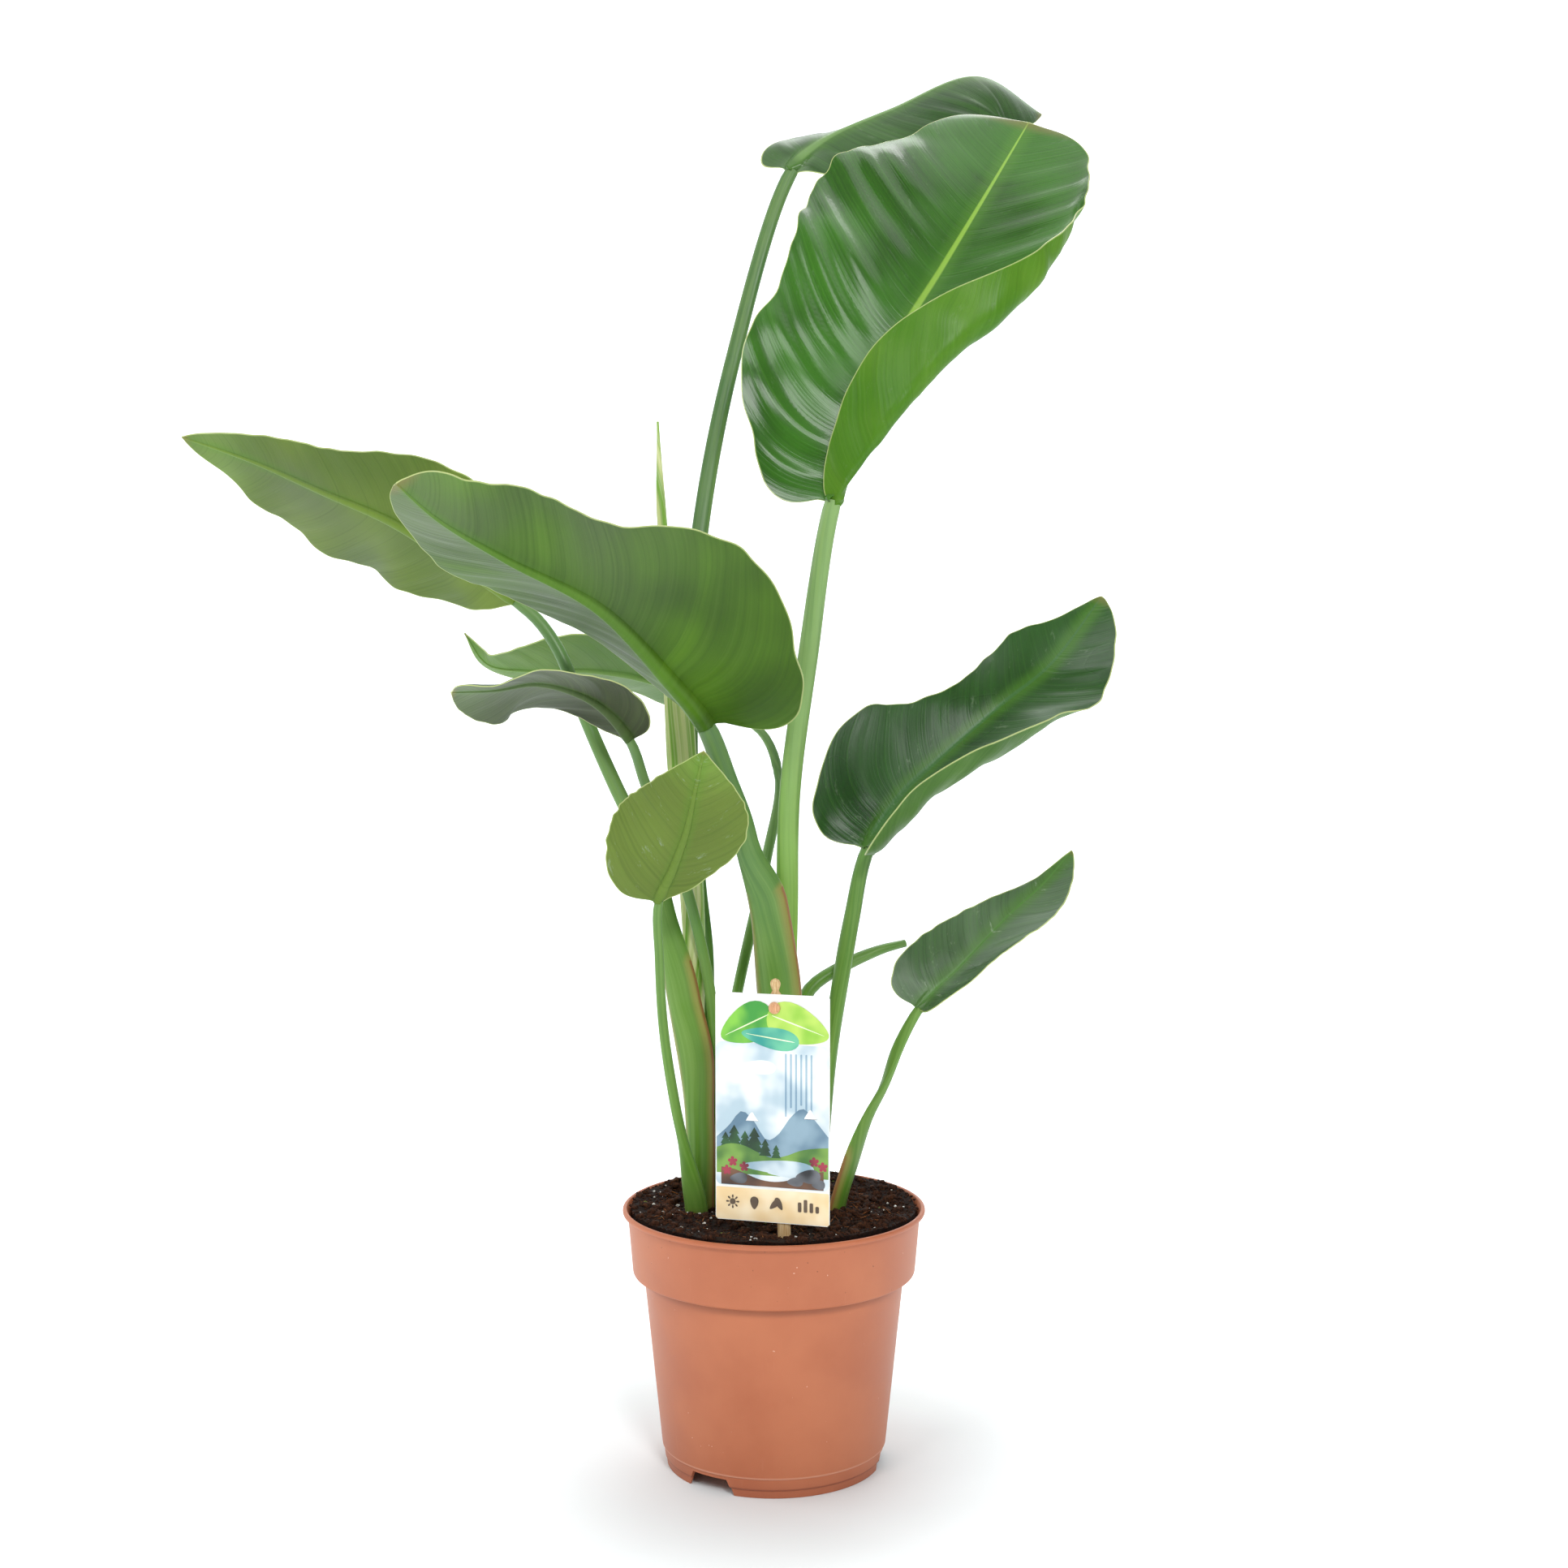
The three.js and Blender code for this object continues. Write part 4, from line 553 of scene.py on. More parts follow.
class Route:
    """Centripetal curve through a piece's points, measured along its length."""

    def __init__(self, piece):
        x, y = piece["foot"]
        points = np.array([(x, y, STALK_FOOT), (x, y, STALK_UPRIGHT), *piece["route"]], float)
        self.ends = with_ends(points)
        self.count = len(points) - 1
        self.stations = np.linspace(0, self.count, ROUTE_STEPS * self.count + 1)
        places = self.at(self.stations)[0]
        steps = np.linalg.norm(np.diff(places, axis=0), axis=1)
        self.lengths = np.concatenate([[0], np.cumsum(steps)])
        self.total = self.lengths[-1]
        self.joint = self.total
        if "joint" in piece:
            self.joint = self.lengths[ROUTE_STEPS * (piece["joint"] + 2)]

    def at(self, x):
        """Places and directions at stations along the points."""
        i = np.clip(np.floor(x).astype(int), 0, self.count - 1)
        t = (x - i)[:, None]
        p0, p1, p2, p3 = (self.ends[i + k] for k in range(4))
        d0, d1, d2 = (np.linalg.norm(b - a, axis=1)[:, None] ** 0.5
                      for a, b in ((p0, p1), (p1, p2), (p2, p3)))
        m1 = ((p1 - p0) / d0 - (p2 - p0) / (d0 + d1) + (p2 - p1) / d1) * d1
        m2 = ((p2 - p1) / d1 - (p3 - p1) / (d1 + d2) + (p3 - p2) / d2) * d1
        c2 = -3 * p1 + 3 * p2 - 2 * m1 - m2
        c3 = 2 * p1 - 2 * p2 + m1 + m2
        return p1 + m1 * t + c2 * t ** 2 + c3 * t ** 3, unit(m1 + 2 * c2 * t + 3 * c3 * t ** 2)

    def frame(self, distances, directions):
        """Middle, along, facing and sideways at distances from the foot."""
        middle, along = self.at(np.interp(distances, self.lengths, self.stations))
        facing = unit(directions - (directions * along).sum(1, keepdims=True) * along)
        return middle, along, facing, np.cross(along, facing)


def table_at(table, distances):
    """Rows of a table at distances, eased between the nearest two rows."""
    table = np.array(table, float)
    k = np.clip(np.searchsorted(table[:, 0], distances, side="left") - 1, 0, len(table) - 2)
    t = smooth((distances - table[k, 0]) / (table[k + 1, 0] - table[k, 0]))[:, None]
    return table[k, 1:] + (table[k + 1, 1:] - table[k, 1:]) * t


def tube_faces(rings, sides):
    """Faces between rings of points that follow one another."""
    here = np.arange((rings - 1) * sides).reshape(-1, sides)
    beside = np.roll(here, -1, axis=1)
    return np.stack([here, beside, beside + sides, here + sides], -1).reshape(-1, 4)


def mesh_object(name, points, faces, materials, numbers=None, uv=None, indices=None, crease=50):
    """Object from points in millimetres, with numbers stored on its points."""
    mesh = bpy.data.meshes.new(name)
    mesh.from_pydata((np.asarray(points) * MM).tolist(), [], [list(face) for face in faces])
    for material in materials:
        mesh.materials.append(material)
    for key, values in (numbers or {}).items():
        attribute = mesh.attributes.new(key, "FLOAT", "POINT")
        attribute.data.foreach_set("value", np.asarray(values, np.float32).ravel())
    if uv:
        layer = mesh.uv_layers.new(name=uv[0])
        loops = np.zeros(len(mesh.loops), np.int32)
        mesh.loops.foreach_get("vertex_index", loops)
        layer.data.foreach_set("uv", np.asarray(uv[1], np.float32)[loops].ravel())
    if indices is not None:
        mesh.polygons.foreach_set("material_index", np.asarray(indices, np.int32))
    mesh.shade_smooth()
    mesh.set_sharp_from_angle(angle=math.radians(crease))
    mesh.update()
    made = bpy.data.objects.new(name, mesh)
    bpy.context.scene.collection.objects.link(made)
    return made


def made_plain(piece):
    """Makes the result of a piece's modifiers its own mesh."""
    evaluated = piece.evaluated_get(bpy.context.evaluated_depsgraph_get())
    mesh = bpy.data.meshes.new_from_object(evaluated)
    piece.modifiers.clear()
    piece.data = mesh
    mesh.shade_smooth()


def stand_for(piece, slot, *nodes):
    """The piece rides on the part and hides the solids it stands for. Its slot is not used."""
    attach(piece, "root")
    if nodes:
        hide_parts(*nodes)


def half_blade(leaf, half, side, u, route_frame, neck, rib, draw):
    """One half of a blade, from the rib outwards, for all its rows: its points, how far out they
    lie, their place along the veins, the way to the margin, and how far across the rib they lie."""
    middle, along, facing, sideways, length = route_frame
    p, q = leaf["shape"]
    peak = p / (p + q)
    width = half["width"] * mix(half["by"], u) * u ** p * (1 - u) ** q
    width = width / (peak ** p * (1 - peak) ** q)
    # The margin is ragged by about 1% in two short waves
    ragged = 1 + 0.008 * np.sin(u * 61 + draw[0] * 6) + 0.006 * np.sin(u * 97 + draw[1] * 6)
    width = np.maximum.reduce([width * ragged * BLADE_SHARE, neck * (1 - u) ** 8,
                               np.full_like(u, TIP_WIDTH / 2)])
    first = np.minimum(rib / width, 0.5)[:, None]
    far = first + (1 - first) * (np.arange(1, BLADE_COLUMNS + 1) / BLADE_COLUMNS) ** 0.92
    v = np.concatenate([first * np.array(RIB_PLACES), far], axis=1)

    fold, cup, curl, roll = (np.radians(mix(half.get(key, (0, 0)), u))[:, None]
                             for key in ("fold", "cup", "curl", "roll"))
    hinge = mix(half.get("hinge", (0.5, 0.5)), u)[:, None]

    def angle_at(v):
        return fold + cup * v + curl * v ** 3 + roll * smooth((v - hinge) / ROLL_SHARE + 0.5)

    # How far out and how high the curled cross-section reaches, added up in small steps
    fine = angle_at((np.arange(ROLL_STEPS) + 0.5) / ROLL_STEPS)
    knots = np.linspace(0, 1, ROLL_STEPS + 1)
    reach, rise = (
        np.array([np.interp(v[i], knots, np.concatenate([[0], row])) for i, row in enumerate(sums)])
        for sums in (np.cumsum(np.cos(fine), 1) / ROLL_STEPS, np.cumsum(np.sin(fine), 1) / ROLL_STEPS))
    angle = angle_at(v)

    # The lobes reach back past the blade's foot, and further on the margins lean to the tip
    lean = -leaf["lobe"][side > 0] * (1 - smooth(u / 0.3)) + TIP_LEAN * smooth((u - 0.1) / 0.5)
    w = width[:, None]
    beyond = np.maximum(0, w * v - neck - 1.5)
    slide = lean[:, None] * beyond ** 2 / (beyond + 6)
    height, count, start = half["wave"]
    # Waves rise towards the margin and fade at both ends of the blade
    wave = height * np.sin(2 * np.pi * (count * u + start)) * np.sin(np.pi * u) ** 0.6
    lift = wave[:, None] * v ** 1.6

    # Pleats: soft pillows between the main veins, which run outwards and a little to the tip
    out = w * v
    vein = length * u[:, None] - 0.38 * out - 0.22 * out * v
    warped = vein + 5 * np.sin(vein / 33 + draw[2] * 6) + 3 * np.sin(vein / 17 + draw[3] * 6)
    turn = (warped / PLEAT_SPACING + draw[4]) % 1
    pillow = turn ** 3 * (1 - turn) / PLEAT_PEAK - 0.45
    strength = 0.75 + 0.25 * np.sin(warped / 41 + draw[5] * 6)
    ease = smooth((v - 0.08) / 0.5) * (1 - 0.6 * smooth((v - 0.8) / 0.2))
    ease = ease * (smooth(u / 0.12) * smooth((1 - u) / 0.4))[:, None]
    lift = lift + half.get("pleat", leaf["pleat"]) * pillow * strength * ease
    lift = lift + RIPPLE_HEIGHT * v ** 4 * np.sin(vein / RIPPLE_LENGTH + draw[1] * 6) * ease

    normal = (-side * np.sin(angle)[..., None] * sideways[:, None]
              + np.cos(angle)[..., None] * facing[:, None])
    points = (middle[:, None] + side * (w * reach)[..., None] * sideways[:, None]
              + (w * rise)[..., None] * facing[:, None] + slide[..., None] * along[:, None]
              + lift[..., None] * normal)
    margin = np.minimum(w * (1 - v), (length * (1 - u))[:, None])
    return points, out, vein, margin, v / first


def blade(leaf, materials, seed):
    """Leaf blade: two skins a leaf's thickness apart, closed round the margin, with its midrib."""
    draw = np.random.default_rng(seed).random((2, 6))
    route = Route(leaf)
    # Rows lie closer together towards the foot and the tip
    x = np.linspace(0, 1, BLADE_ROWS + 1)
    u = 0.3 * x + 0.7 * (0.5 - 0.5 * np.cos(np.pi * x))
    start = route.joint + JOINT_GAP
    length = route.total - start - TIP_TRIM
    route_frame = (*route.frame(start + u * length, mix(leaf["face"], u)), length)
    neck, _, neck_depth, _ = leaf["section"][-1][1:]
    rib = neck * (1 - u) + RIB_END
    under = neck_depth * (1 - u) ** 1.3 + RIB_END
    top = neck_depth * np.maximum(0, 1 - u / 0.12) ** 2
    left, right = (half_blade(leaf, leaf[name], side, u, route_frame, neck, rib, draw[max(side, 0)])
                   for name, side in (("left", -1), ("right", 1)))
    zero = np.zeros((len(u), 1))
    # The middle line of points, between the halves
    centre = (route_frame[0][:, None], zero, (length * u)[:, None], zero + FAR_INSIDE, zero)
    grid, out, vein, margin, share = (np.concatenate([a[:, ::-1], mid, b], axis=1)
                                      for a, mid, b in zip(left, centre, right))

    normal = unit(np.cross(np.gradient(grid, axis=1), np.gradient(grid, axis=0)))
    bulge = np.sqrt(np.clip(1 - share ** 2, 0, 1))
    half = BLADE_THICKNESS / 2
    upper = grid + normal * (half + bulge * top[:, None])[..., None]
    lower = grid - normal * (half + bulge * (under - half)[:, None])[..., None]
    points = np.concatenate([upper.reshape(-1, 3), lower.reshape(-1, 3)])
    index = np.arange(share.size).reshape(share.shape)
    a, b, c, d = (index[:-1, :-1], index[:-1, 1:], index[1:, 1:], index[1:, :-1])
    # The margin runs up the left side, over the tip and down the right side to the stalk
    rim = np.concatenate([index[:-1, 0], index[-1, :-1], index[:0:-1, -1], index[0, ::-1]])
    faces = [np.stack([a, b, c, d], -1).reshape(-1, 4),
             np.stack([a, d, c, b], -1).reshape(-1, 4) + share.size,
             np.stack([rim[:-1], rim[1:], rim[1:] + share.size, rim[:-1] + share.size], 1)]
    skins = np.repeat([0, 1, 0], [len(part) for part in faces])
    twice = {key: np.tile(np.broadcast_to(values, share.shape).ravel(), 2) for key, values in (
        ("out", out), ("edge", margin), ("grown", u[:, None]), ("rib", rib[:, None]), ("vein", vein))}
    uv = np.stack([twice.pop("vein"), twice["out"]], 1) * MM + seed * PATTERN_STEP
    return mesh_object(leaf["name"] + "_leaf", points, np.concatenate(faces), materials, twice,
                       ("leaf", uv), skins, 60)


def stalk(piece, materials, seed, sides=STALK_SIDES):
    """Stalk: round, grooved or opened as a sheath by the rows of its table. Under a blade it goes
    on a little way, and the last material is that of its cut end."""
    route = Route(piece)
    jointed = "joint" in piece
    end = route.joint + STALK_REACH * jointed
    distances = np.linspace(0, end, int(end / STALK_STEP) + 1)
    table = table_at(piece["section"], np.minimum(distances, route.joint))
    left, right, depth, hollow = (table[:, k, None] for k in range(4))
    opens = np.array(piece["opens"], float)
    looks = np.array(piece.get("face", [opens])[0])
    turn = smooth((distances / route.joint - 0.5) * 2)[:, None]
    middle, _, facing, sideways = route.frame(distances, opens + (looks - opens) * turn)
    angle = 2 * np.pi * np.arange(sides) / sides - np.pi / 2
    across, over = np.sin(angle), np.cos(angle)
    width = np.where(across < 0, left, right) * across
    height = -over * depth * np.where(over < 0, 1 - 2 * hollow, 1)
    if piece is SPEAR:
        # The rolled sheet overlaps itself in a step that winds slowly round
        roll = (np.arange(sides) / sides + distances[:, None] / SPEAR_TWIST) % 1
        swell = 1 + SPEAR_STEP * (roll - 0.5) * smooth((distances[:, None] - 150) / 120)
        width, height = width * swell, height * swell
    inset = np.where(distances > route.joint, STALK_INSET, 1)[:, None]
    ring = (middle[:, None] + (width * inset)[..., None] * sideways[:, None]
            + (height * inset)[..., None] * facing[:, None])
    size = len(distances)
    foot = list(range(sides))
    faces = [*tube_faces(size, sides).tolist(), foot[::-1], [k + (size - 1) * sides for k in foot]]
    skins = [0] * (len(faces) - 1) + [len(materials) - 1]
    up = np.broadcast_to(distances[:, None], (size, sides))
    round_it = np.broadcast_to(np.arange(sides) / sides, (size, sides))
    edge = np.broadcast_to(np.abs(across), (size, sides)) * smooth((hollow - 0.5) / 0.2)
    girth = (left + right + depth) * 2
    uv = np.stack([(round_it * girth).ravel(), up.ravel()], 1) * MM + seed * PATTERN_STEP
    return mesh_object(piece["name"] + ("_living" if jointed else "_grown"), ring.reshape(-1, 3), faces,
                       materials, {"up": up, "turn": round_it, "edge": edge}, ("stalk", uv), skins)


def lathe(name, profile, segments, materials, crease=35):
    """Solid of revolution round Z from a profile of radius and height that starts and ends on the
    axis."""
    turns = 2 * np.pi * np.arange(segments) / segments
    points = []
    rings = []
    for r, z in np.array(profile, float):
        if r == 0:
            rings.append([len(points)] * segments)
            points.append((0, 0, z))
        else:
            rings.append(list(range(len(points), len(points) + segments)))
            points.extend((r * math.cos(t), r * math.sin(t), z) for t in turns)
    faces = []
    for low, high in zip(rings, rings[1:]):
        for k in range(segments):
            n = (k + 1) % segments
            faces.append(tuple(dict.fromkeys([low[k], low[n], high[n], high[k]])))
    return mesh_object(name, points, [face for face in faces if len(face) > 2], materials,
                       crease=crease)


def rounded(corners, segments=4):
    """Profile with rounded corners: each corner is radius, height and how much to round it."""
    path = []
    for i, (r, z, fillet) in enumerate(corners):
        here = np.array([r, z], float)
        if fillet == 0 or i in (0, len(corners) - 1):
            path.append(here)
            continue
        before, after = (np.array(corners[k][:2], float) - here for k in (i - 1, i + 1))
        size = min(fillet, np.linalg.norm(before) * 0.45, np.linalg.norm(after) * 0.45)
        start, end = (here + way / np.linalg.norm(way) * size for way in (before, after))
        for t in np.linspace(0, 1, segments + 1):
            path.append((1 - t) ** 2 * start + 2 * t * (1 - t) * here + t ** 2 * end)
    return path


def make_pot():
    """Thin moulded shell: rolled lip, collar, tapered body, notched skirt, drained floor, boss."""
    t = POT_WALL
    lip = POT_HEIGHT - LIP_HEIGHT
    foot = BOSS_RADIUS - BOSS_SLOPE
    pot = lathe("nursery_pot", rounded([
        (0, 0, 0), (foot, 0, 2), (BOSS_RADIUS, FLOOR_HEIGHT, 2),
        (SKIRT_RADIUS - t, FLOOR_HEIGHT, 1.5), (SKIRT_RADIUS - t, 0, 0.4), (SKIRT_RADIUS, 0, 0.6),
        (SKIRT_RADIUS, SKIRT_HEIGHT, 0.3), (SKIRT_RADIUS + 1.3, SKIRT_HEIGHT + 0.4, 0.4),
        (BODY_FOOT_RADIUS - 1.1, LEDGE_HEIGHT - 0.4, 0.2), (BODY_FOOT_RADIUS, LEDGE_HEIGHT, 0.4),
        (BODY_TOP_RADIUS, BODY_TOP, 0.8), (COLLAR_FOOT_RADIUS, COLLAR_FOOT, 1.6),
        (COLLAR_TOP_RADIUS, lip, 0.4), (RIM_RADIUS - 0.6, lip, 0.4), (RIM_RADIUS, lip + 0.8, 0.6),
        (RIM_RADIUS, POT_HEIGHT - 1, 1), (RIM_RADIUS - 1, POT_HEIGHT, 1),
        (RIM_RADIUS - 2.6, POT_HEIGHT, 1), (COLLAR_TOP_RADIUS - t, lip - 2, 1.5),
        (COLLAR_FOOT_RADIUS - t, COLLAR_FOOT + 1.2, 1), (BODY_TOP_RADIUS - t, BODY_TOP + 1.2, 1),
        (BODY_FOOT_RADIUS - t - 0.2, FLOOR_HEIGHT + t, 2), (BOSS_RADIUS - t, FLOOR_HEIGHT + t, 1),
        (foot - t, t, 1), (0, t, 0),
    ]), POT_SEGMENTS, [pot_plastic()])
    cutters = []
    low, high = FLOOR_HEIGHT - 4, FLOOR_HEIGHT + 4
    for k in range(DRAIN_COUNT):
        angle = 2 * math.pi * (k + 0.5) / DRAIN_COUNT
        hole = lathe("drain", [(0, low), (DRAIN_RADIUS, low), (DRAIN_RADIUS, high), (0, high)], 24, [])
        hole.location = (DRAIN_CIRCLE * math.cos(angle) * MM, DRAIN_CIRCLE * math.sin(angle) * MM, 0)
        cutters.append(hole)
    half, narrow = NOTCH_WIDTH / 2, NOTCH_WIDTH / 2 - NOTCH_SLOPE
    outline = [(-half, -1), (half, -1), (narrow, NOTCH_HEIGHT), (-narrow, NOTCH_HEIGHT)]
    faces = [(0, 3, 2, 1), (4, 5, 6, 7), *[(i, (i + 1) % 4, (i + 1) % 4 + 4, i + 4) for i in range(4)]]
    for k in range(NOTCH_COUNT):
        angle = math.radians(NOTCH_FIRST_ANGLE + 360 * k / NOTCH_COUNT)
        c, s = math.cos(angle), math.sin(angle)
        points = [(out * c - across * s, out * s + across * c, z)
                  for out in NOTCH_REACH for across, z in outline]
        cutters.append(mesh_object("notch", points, faces, []))
    bpy.context.view_layer.update()
    for cutter in cutters:
        modifier = pot.modifiers.new("cut", "BOOLEAN")
        modifier.object = cutter
        modifier.operation = "DIFFERENCE"
        modifier.solver = "EXACT"
    made_plain(pot)
    for cutter in cutters:
        bpy.data.objects.remove(cutter)
    pot.data.set_sharp_from_angle(angle=math.radians(35))
    stand_for(pot, "pot_plastic", "pot")


def soil_height(x, y):
    """Level of the soil: a low mound with lumps of many sizes, banked up against the wall."""
    r = np.hypot(x, y)
    level = SOIL_LEVEL + SOIL_MOUND * (1 - smooth((r - 30) / 70)) + SOIL_BANK * smooth((r - 76) / 22)
    lumps = 0
    for scale, size, phase in ((23, 1.1, 0.3), (11, 0.8, 1.7), (6.1, 0.55, 2.9), (3.7, 0.4, 4.1)):
        lumps = lumps + size * np.sin(x / scale + phase + 1.3 * np.sin(y / scale * 0.8 + phase))
        lumps = lumps + size * np.sin(y / scale * 1.1 - phase + 1.1 * np.sin(x / scale + 2 * phase))
    return level + lumps * 0.55


def move_points(piece, change):
    """Changes a piece's points, given and returned in millimetres."""
    flat = np.zeros(len(piece.data.vertices) * 3)
    piece.data.vertices.foreach_get("co", flat)
    piece.data.vertices.foreach_set("co", (change(flat.reshape(-1, 3) / MM) * MM).ravel())
    piece.data.update()


def lumpy(points):
    """The points at the soil's level moved up or down to its lumps."""
    top = points[:, 2] > SOIL_LEVEL - 0.01
    points[top, 2] = soil_height(points[top, 0], points[top, 1])
    return points


def make_soil():
    """Peat that fills the pot, its top lumpy, and over it crumbs, bark fibres and white grains."""
    t = POT_WALL + FIT_GAP
    edge = COLLAR_TOP_RADIUS - t - 0.8
    soil = lathe("potting_soil", [
        (0, t), (BOSS_RADIUS - BOSS_SLOPE - t, t), (BOSS_RADIUS - t, FLOOR_HEIGHT + t),
        (BODY_FOOT_RADIUS - t - 0.6, FLOOR_HEIGHT + t), (BODY_TOP_RADIUS - t - 0.2, BODY_TOP + 1.6),
        (COLLAR_FOOT_RADIUS - t - 0.2, COLLAR_FOOT + 1.6),
        *[(edge * (1 - k / SOIL_RINGS), SOIL_LEVEL) for k in range(SOIL_RINGS + 1)],
    ], 128, [crumbly("peat", "#0E0705", "#2E180E", 400)])
    move_points(soil, lumpy)
    stand_for(soil, "potting_soil", "soil")

    # The loose matter is strewn over a disc a little inside the wall. Each kind: its tones, how
    # fine its colours and its shape are, grains a square metre, smallest and largest length, width
    # and height against length, and how far from the wall it stays.
    angles = 2 * np.pi * np.arange(SOIL_TURNS) / SOIL_TURNS
    strewn = [
        ("peat_crumbs", "#100805", "#4A2817", 700, 1, 80000, (1, 3.2), (1, 0.7), -1.3),
        ("peat_lumps", "#120906", "#55301C", 500, 2, 14000, (3, 8), (0.9, 0.8), 1.5),
        ("peat_clods", "#140A07", "#5E3822", 420, 2, 1500, (7, 13), (0.8, 0.6), 5),
        ("perlite", "#CFC9BC", "#FFFFFF", 600, 2, 4000, (0.9, 2.9), (1, 0.8), 3),
        ("bark_fibres", "#4A2612", "#B07040", 500, 1, 13000, (5, 16), (0.05, 0.06), 9),
        ("moss_crumbs", "#4A5226", "#8C9450", 500, 2, 900, (2, 5), (0.8, 0.5), 6),
    ]
    for seed, (name, dark, light, grain, fineness, density, lengths, shares, inset) in enumerate(strewn):
        radii = (edge - inset) * (np.arange(1, SOIL_RINGS + 1) / SOIL_RINGS)
        x, y = radii[:, None] * np.cos(angles), radii[:, None] * np.sin(angles)
        disc = np.stack([x, y, soil_height(x, y)], -1).reshape(-1, 3)
        ground = mesh_object(name, disc, tube_faces(SOIL_RINGS, SOIL_TURNS)[:, ::-1], [])
        strew(ground, crumbly(name, dark, light, grain), fineness, density, lengths, shares, seed + 3)
        stand_for(ground, "potting_soil")


def strew(ground, material, fineness, density, lengths, shares, seed):
    """Strews rough grains over a surface with Geometry Nodes, and makes the result plain mesh.
    Lengths are in millimetres, and shares are a grain's width and height against its length."""
    tree = bpy.data.node_groups.new("strewn_grains", "GeometryNodeTree")
    tree.interface.new_socket("Geometry", in_out="OUTPUT", socket_type="NodeSocketGeometry")
    tree.interface.new_socket("Geometry", in_out="INPUT", socket_type="NodeSocketGeometry")
    settings = {
        "Grains per square metre": density, "Smallest length": lengths[0] * MM,
        "Largest length": lengths[1] * MM, "Width share": shares[0], "Height share": shares[1],
        "Seed": seed,
    }
    kinds = {label: "NodeSocketInt" if label == "Seed" else "NodeSocketFloat" for label in settings}
    sockets = {label: tree.interface.new_socket(label, in_out="INPUT", socket_type=kind)
               for label, kind in kinds.items()}

    entry = node(tree, "NodeGroupInput").outputs
    points = node(tree, "GeometryNodeDistributePointsOnFaces", {
        "Mesh": entry["Geometry"], "Density": entry["Grains per square metre"],
        "Seed": entry["Seed"]}).outputs["Points"]
    # A grain is a ball that is pushed about by noise
    ball = node(tree, "GeometryNodeMeshIcoSphere", {"Radius": 0.5, "Subdivisions": fineness})
    here = node(tree, "GeometryNodeInputPosition").outputs[0]
    rough = node(tree, "ShaderNodeTexNoise", {"Vector": here, "Scale": 2.5, "Detail": 1.0})
    centred = node(tree, "ShaderNodeVectorMath", {
        0: rough.outputs["Color"], 1: (0.5, 0.5, 0.5)}, operation="SUBTRACT").outputs[0]
    push = node(tree, "ShaderNodeVectorMath", {0: centred, "Scale": 0.9}, operation="SCALE")
    grain = node(tree, "GeometryNodeSetPosition", {
        "Geometry": ball.outputs["Mesh"], "Offset": push.outputs[0]}).outputs["Geometry"]
    length = node(tree, "FunctionNodeRandomValue", {
        2: entry["Smallest length"], 3: entry["Largest length"], "Seed": entry["Seed"]},
        data_type="FLOAT").outputs[1]
    sides = node(tree, "ShaderNodeCombineXYZ", {
        "X": 1.0, "Y": entry["Width share"], "Z": entry["Height share"]}).outputs[0]
    size = node(tree, "ShaderNodeVectorMath", {0: sides, "Scale": length}, operation="SCALE")
    spin = node(tree, "FunctionNodeRandomValue", {
        0: (-0.5, -0.5, 0), 1: (0.5, 0.5, 6.283), "Seed": entry["Seed"]},
        data_type="FLOAT_VECTOR")
    strewn = node(tree, "GeometryNodeInstanceOnPoints", {
        "Points": points, "Instance": grain, "Rotation": spin.outputs[0],
        "Scale": size.outputs[0]}).outputs["Instances"]
    real = node(tree, "GeometryNodeRealizeInstances", {"Geometry": strewn}).outputs["Geometry"]
    coated = node(tree, "GeometryNodeSetMaterial", {"Geometry": real, "Material": material})
    node(tree, "NodeGroupOutput", {"Geometry": coated.outputs["Geometry"]})
    modifier = ground.modifiers.new("strewn", "NODES")
    modifier.node_group = tree
    for label, value in settings.items():
        modifier[sockets[label].identifier] = value
    made_plain(ground)


def label_place(points):
    """Puts points of the label, drawn round its peg, where the label hangs."""
    turn = math.radians(LABEL_TURN)
    c, s = math.cos(turn), math.sin(turn)
    x, y, z = np.asarray(points, float).T
    return np.stack([c * x - s * y, s * x + c * y, z], 1) + np.array(PEG_PLACE)


def drop(x, z, width, height, lean=math.pi / 2, count=28):
    """A pointed oval: a leaf, a stone or a drop. It lies on its side where no lean is given."""
    points = []
    for k in range(count):
        t = 2 * math.pi * k / count
        out = math.sin(t) * (1 - 0.35 * math.cos(t)) * width / 2
        up = -math.cos(t) * height / 2
        points.append((x + out * math.cos(lean) + up * math.sin(lean),
                       z + up * math.cos(lean) - out * math.sin(lean)))
    return points


def rays(x, z, radius, width, height, angles):
    """Drops round a middle, as petals or as the rays of a sun."""
    return [drop(x + radius * math.cos(a), z + radius * math.sin(a), width, height, math.pi / 2 - a)
            for a in angles]


def ridge(left, right, foot, crests, count=24):
    """A stretch of hills: flat at the foot, with a smooth line through the crests."""
    across = np.linspace(right, left, count)
    heights = mix(crests, np.linspace(1, 0, count))
    return [(left, foot), (right, foot), *zip(across.tolist(), heights.tolist())]


def rounded_box(left, right, bottom, top, radius, count=8):
    """A rectangle with rounded corners."""
    points = []
    for cx, cz, first in ((right - radius, top - radius, 0), (left + radius, top - radius, 90),
                          (left + radius, bottom + radius, 180), (right - radius, bottom + radius, 270)):
        for k in range(count + 1):
            t = math.radians(first + 90 * k / count)
            points.append((cx + radius * math.cos(t), cz + radius * math.sin(t)))
    return points


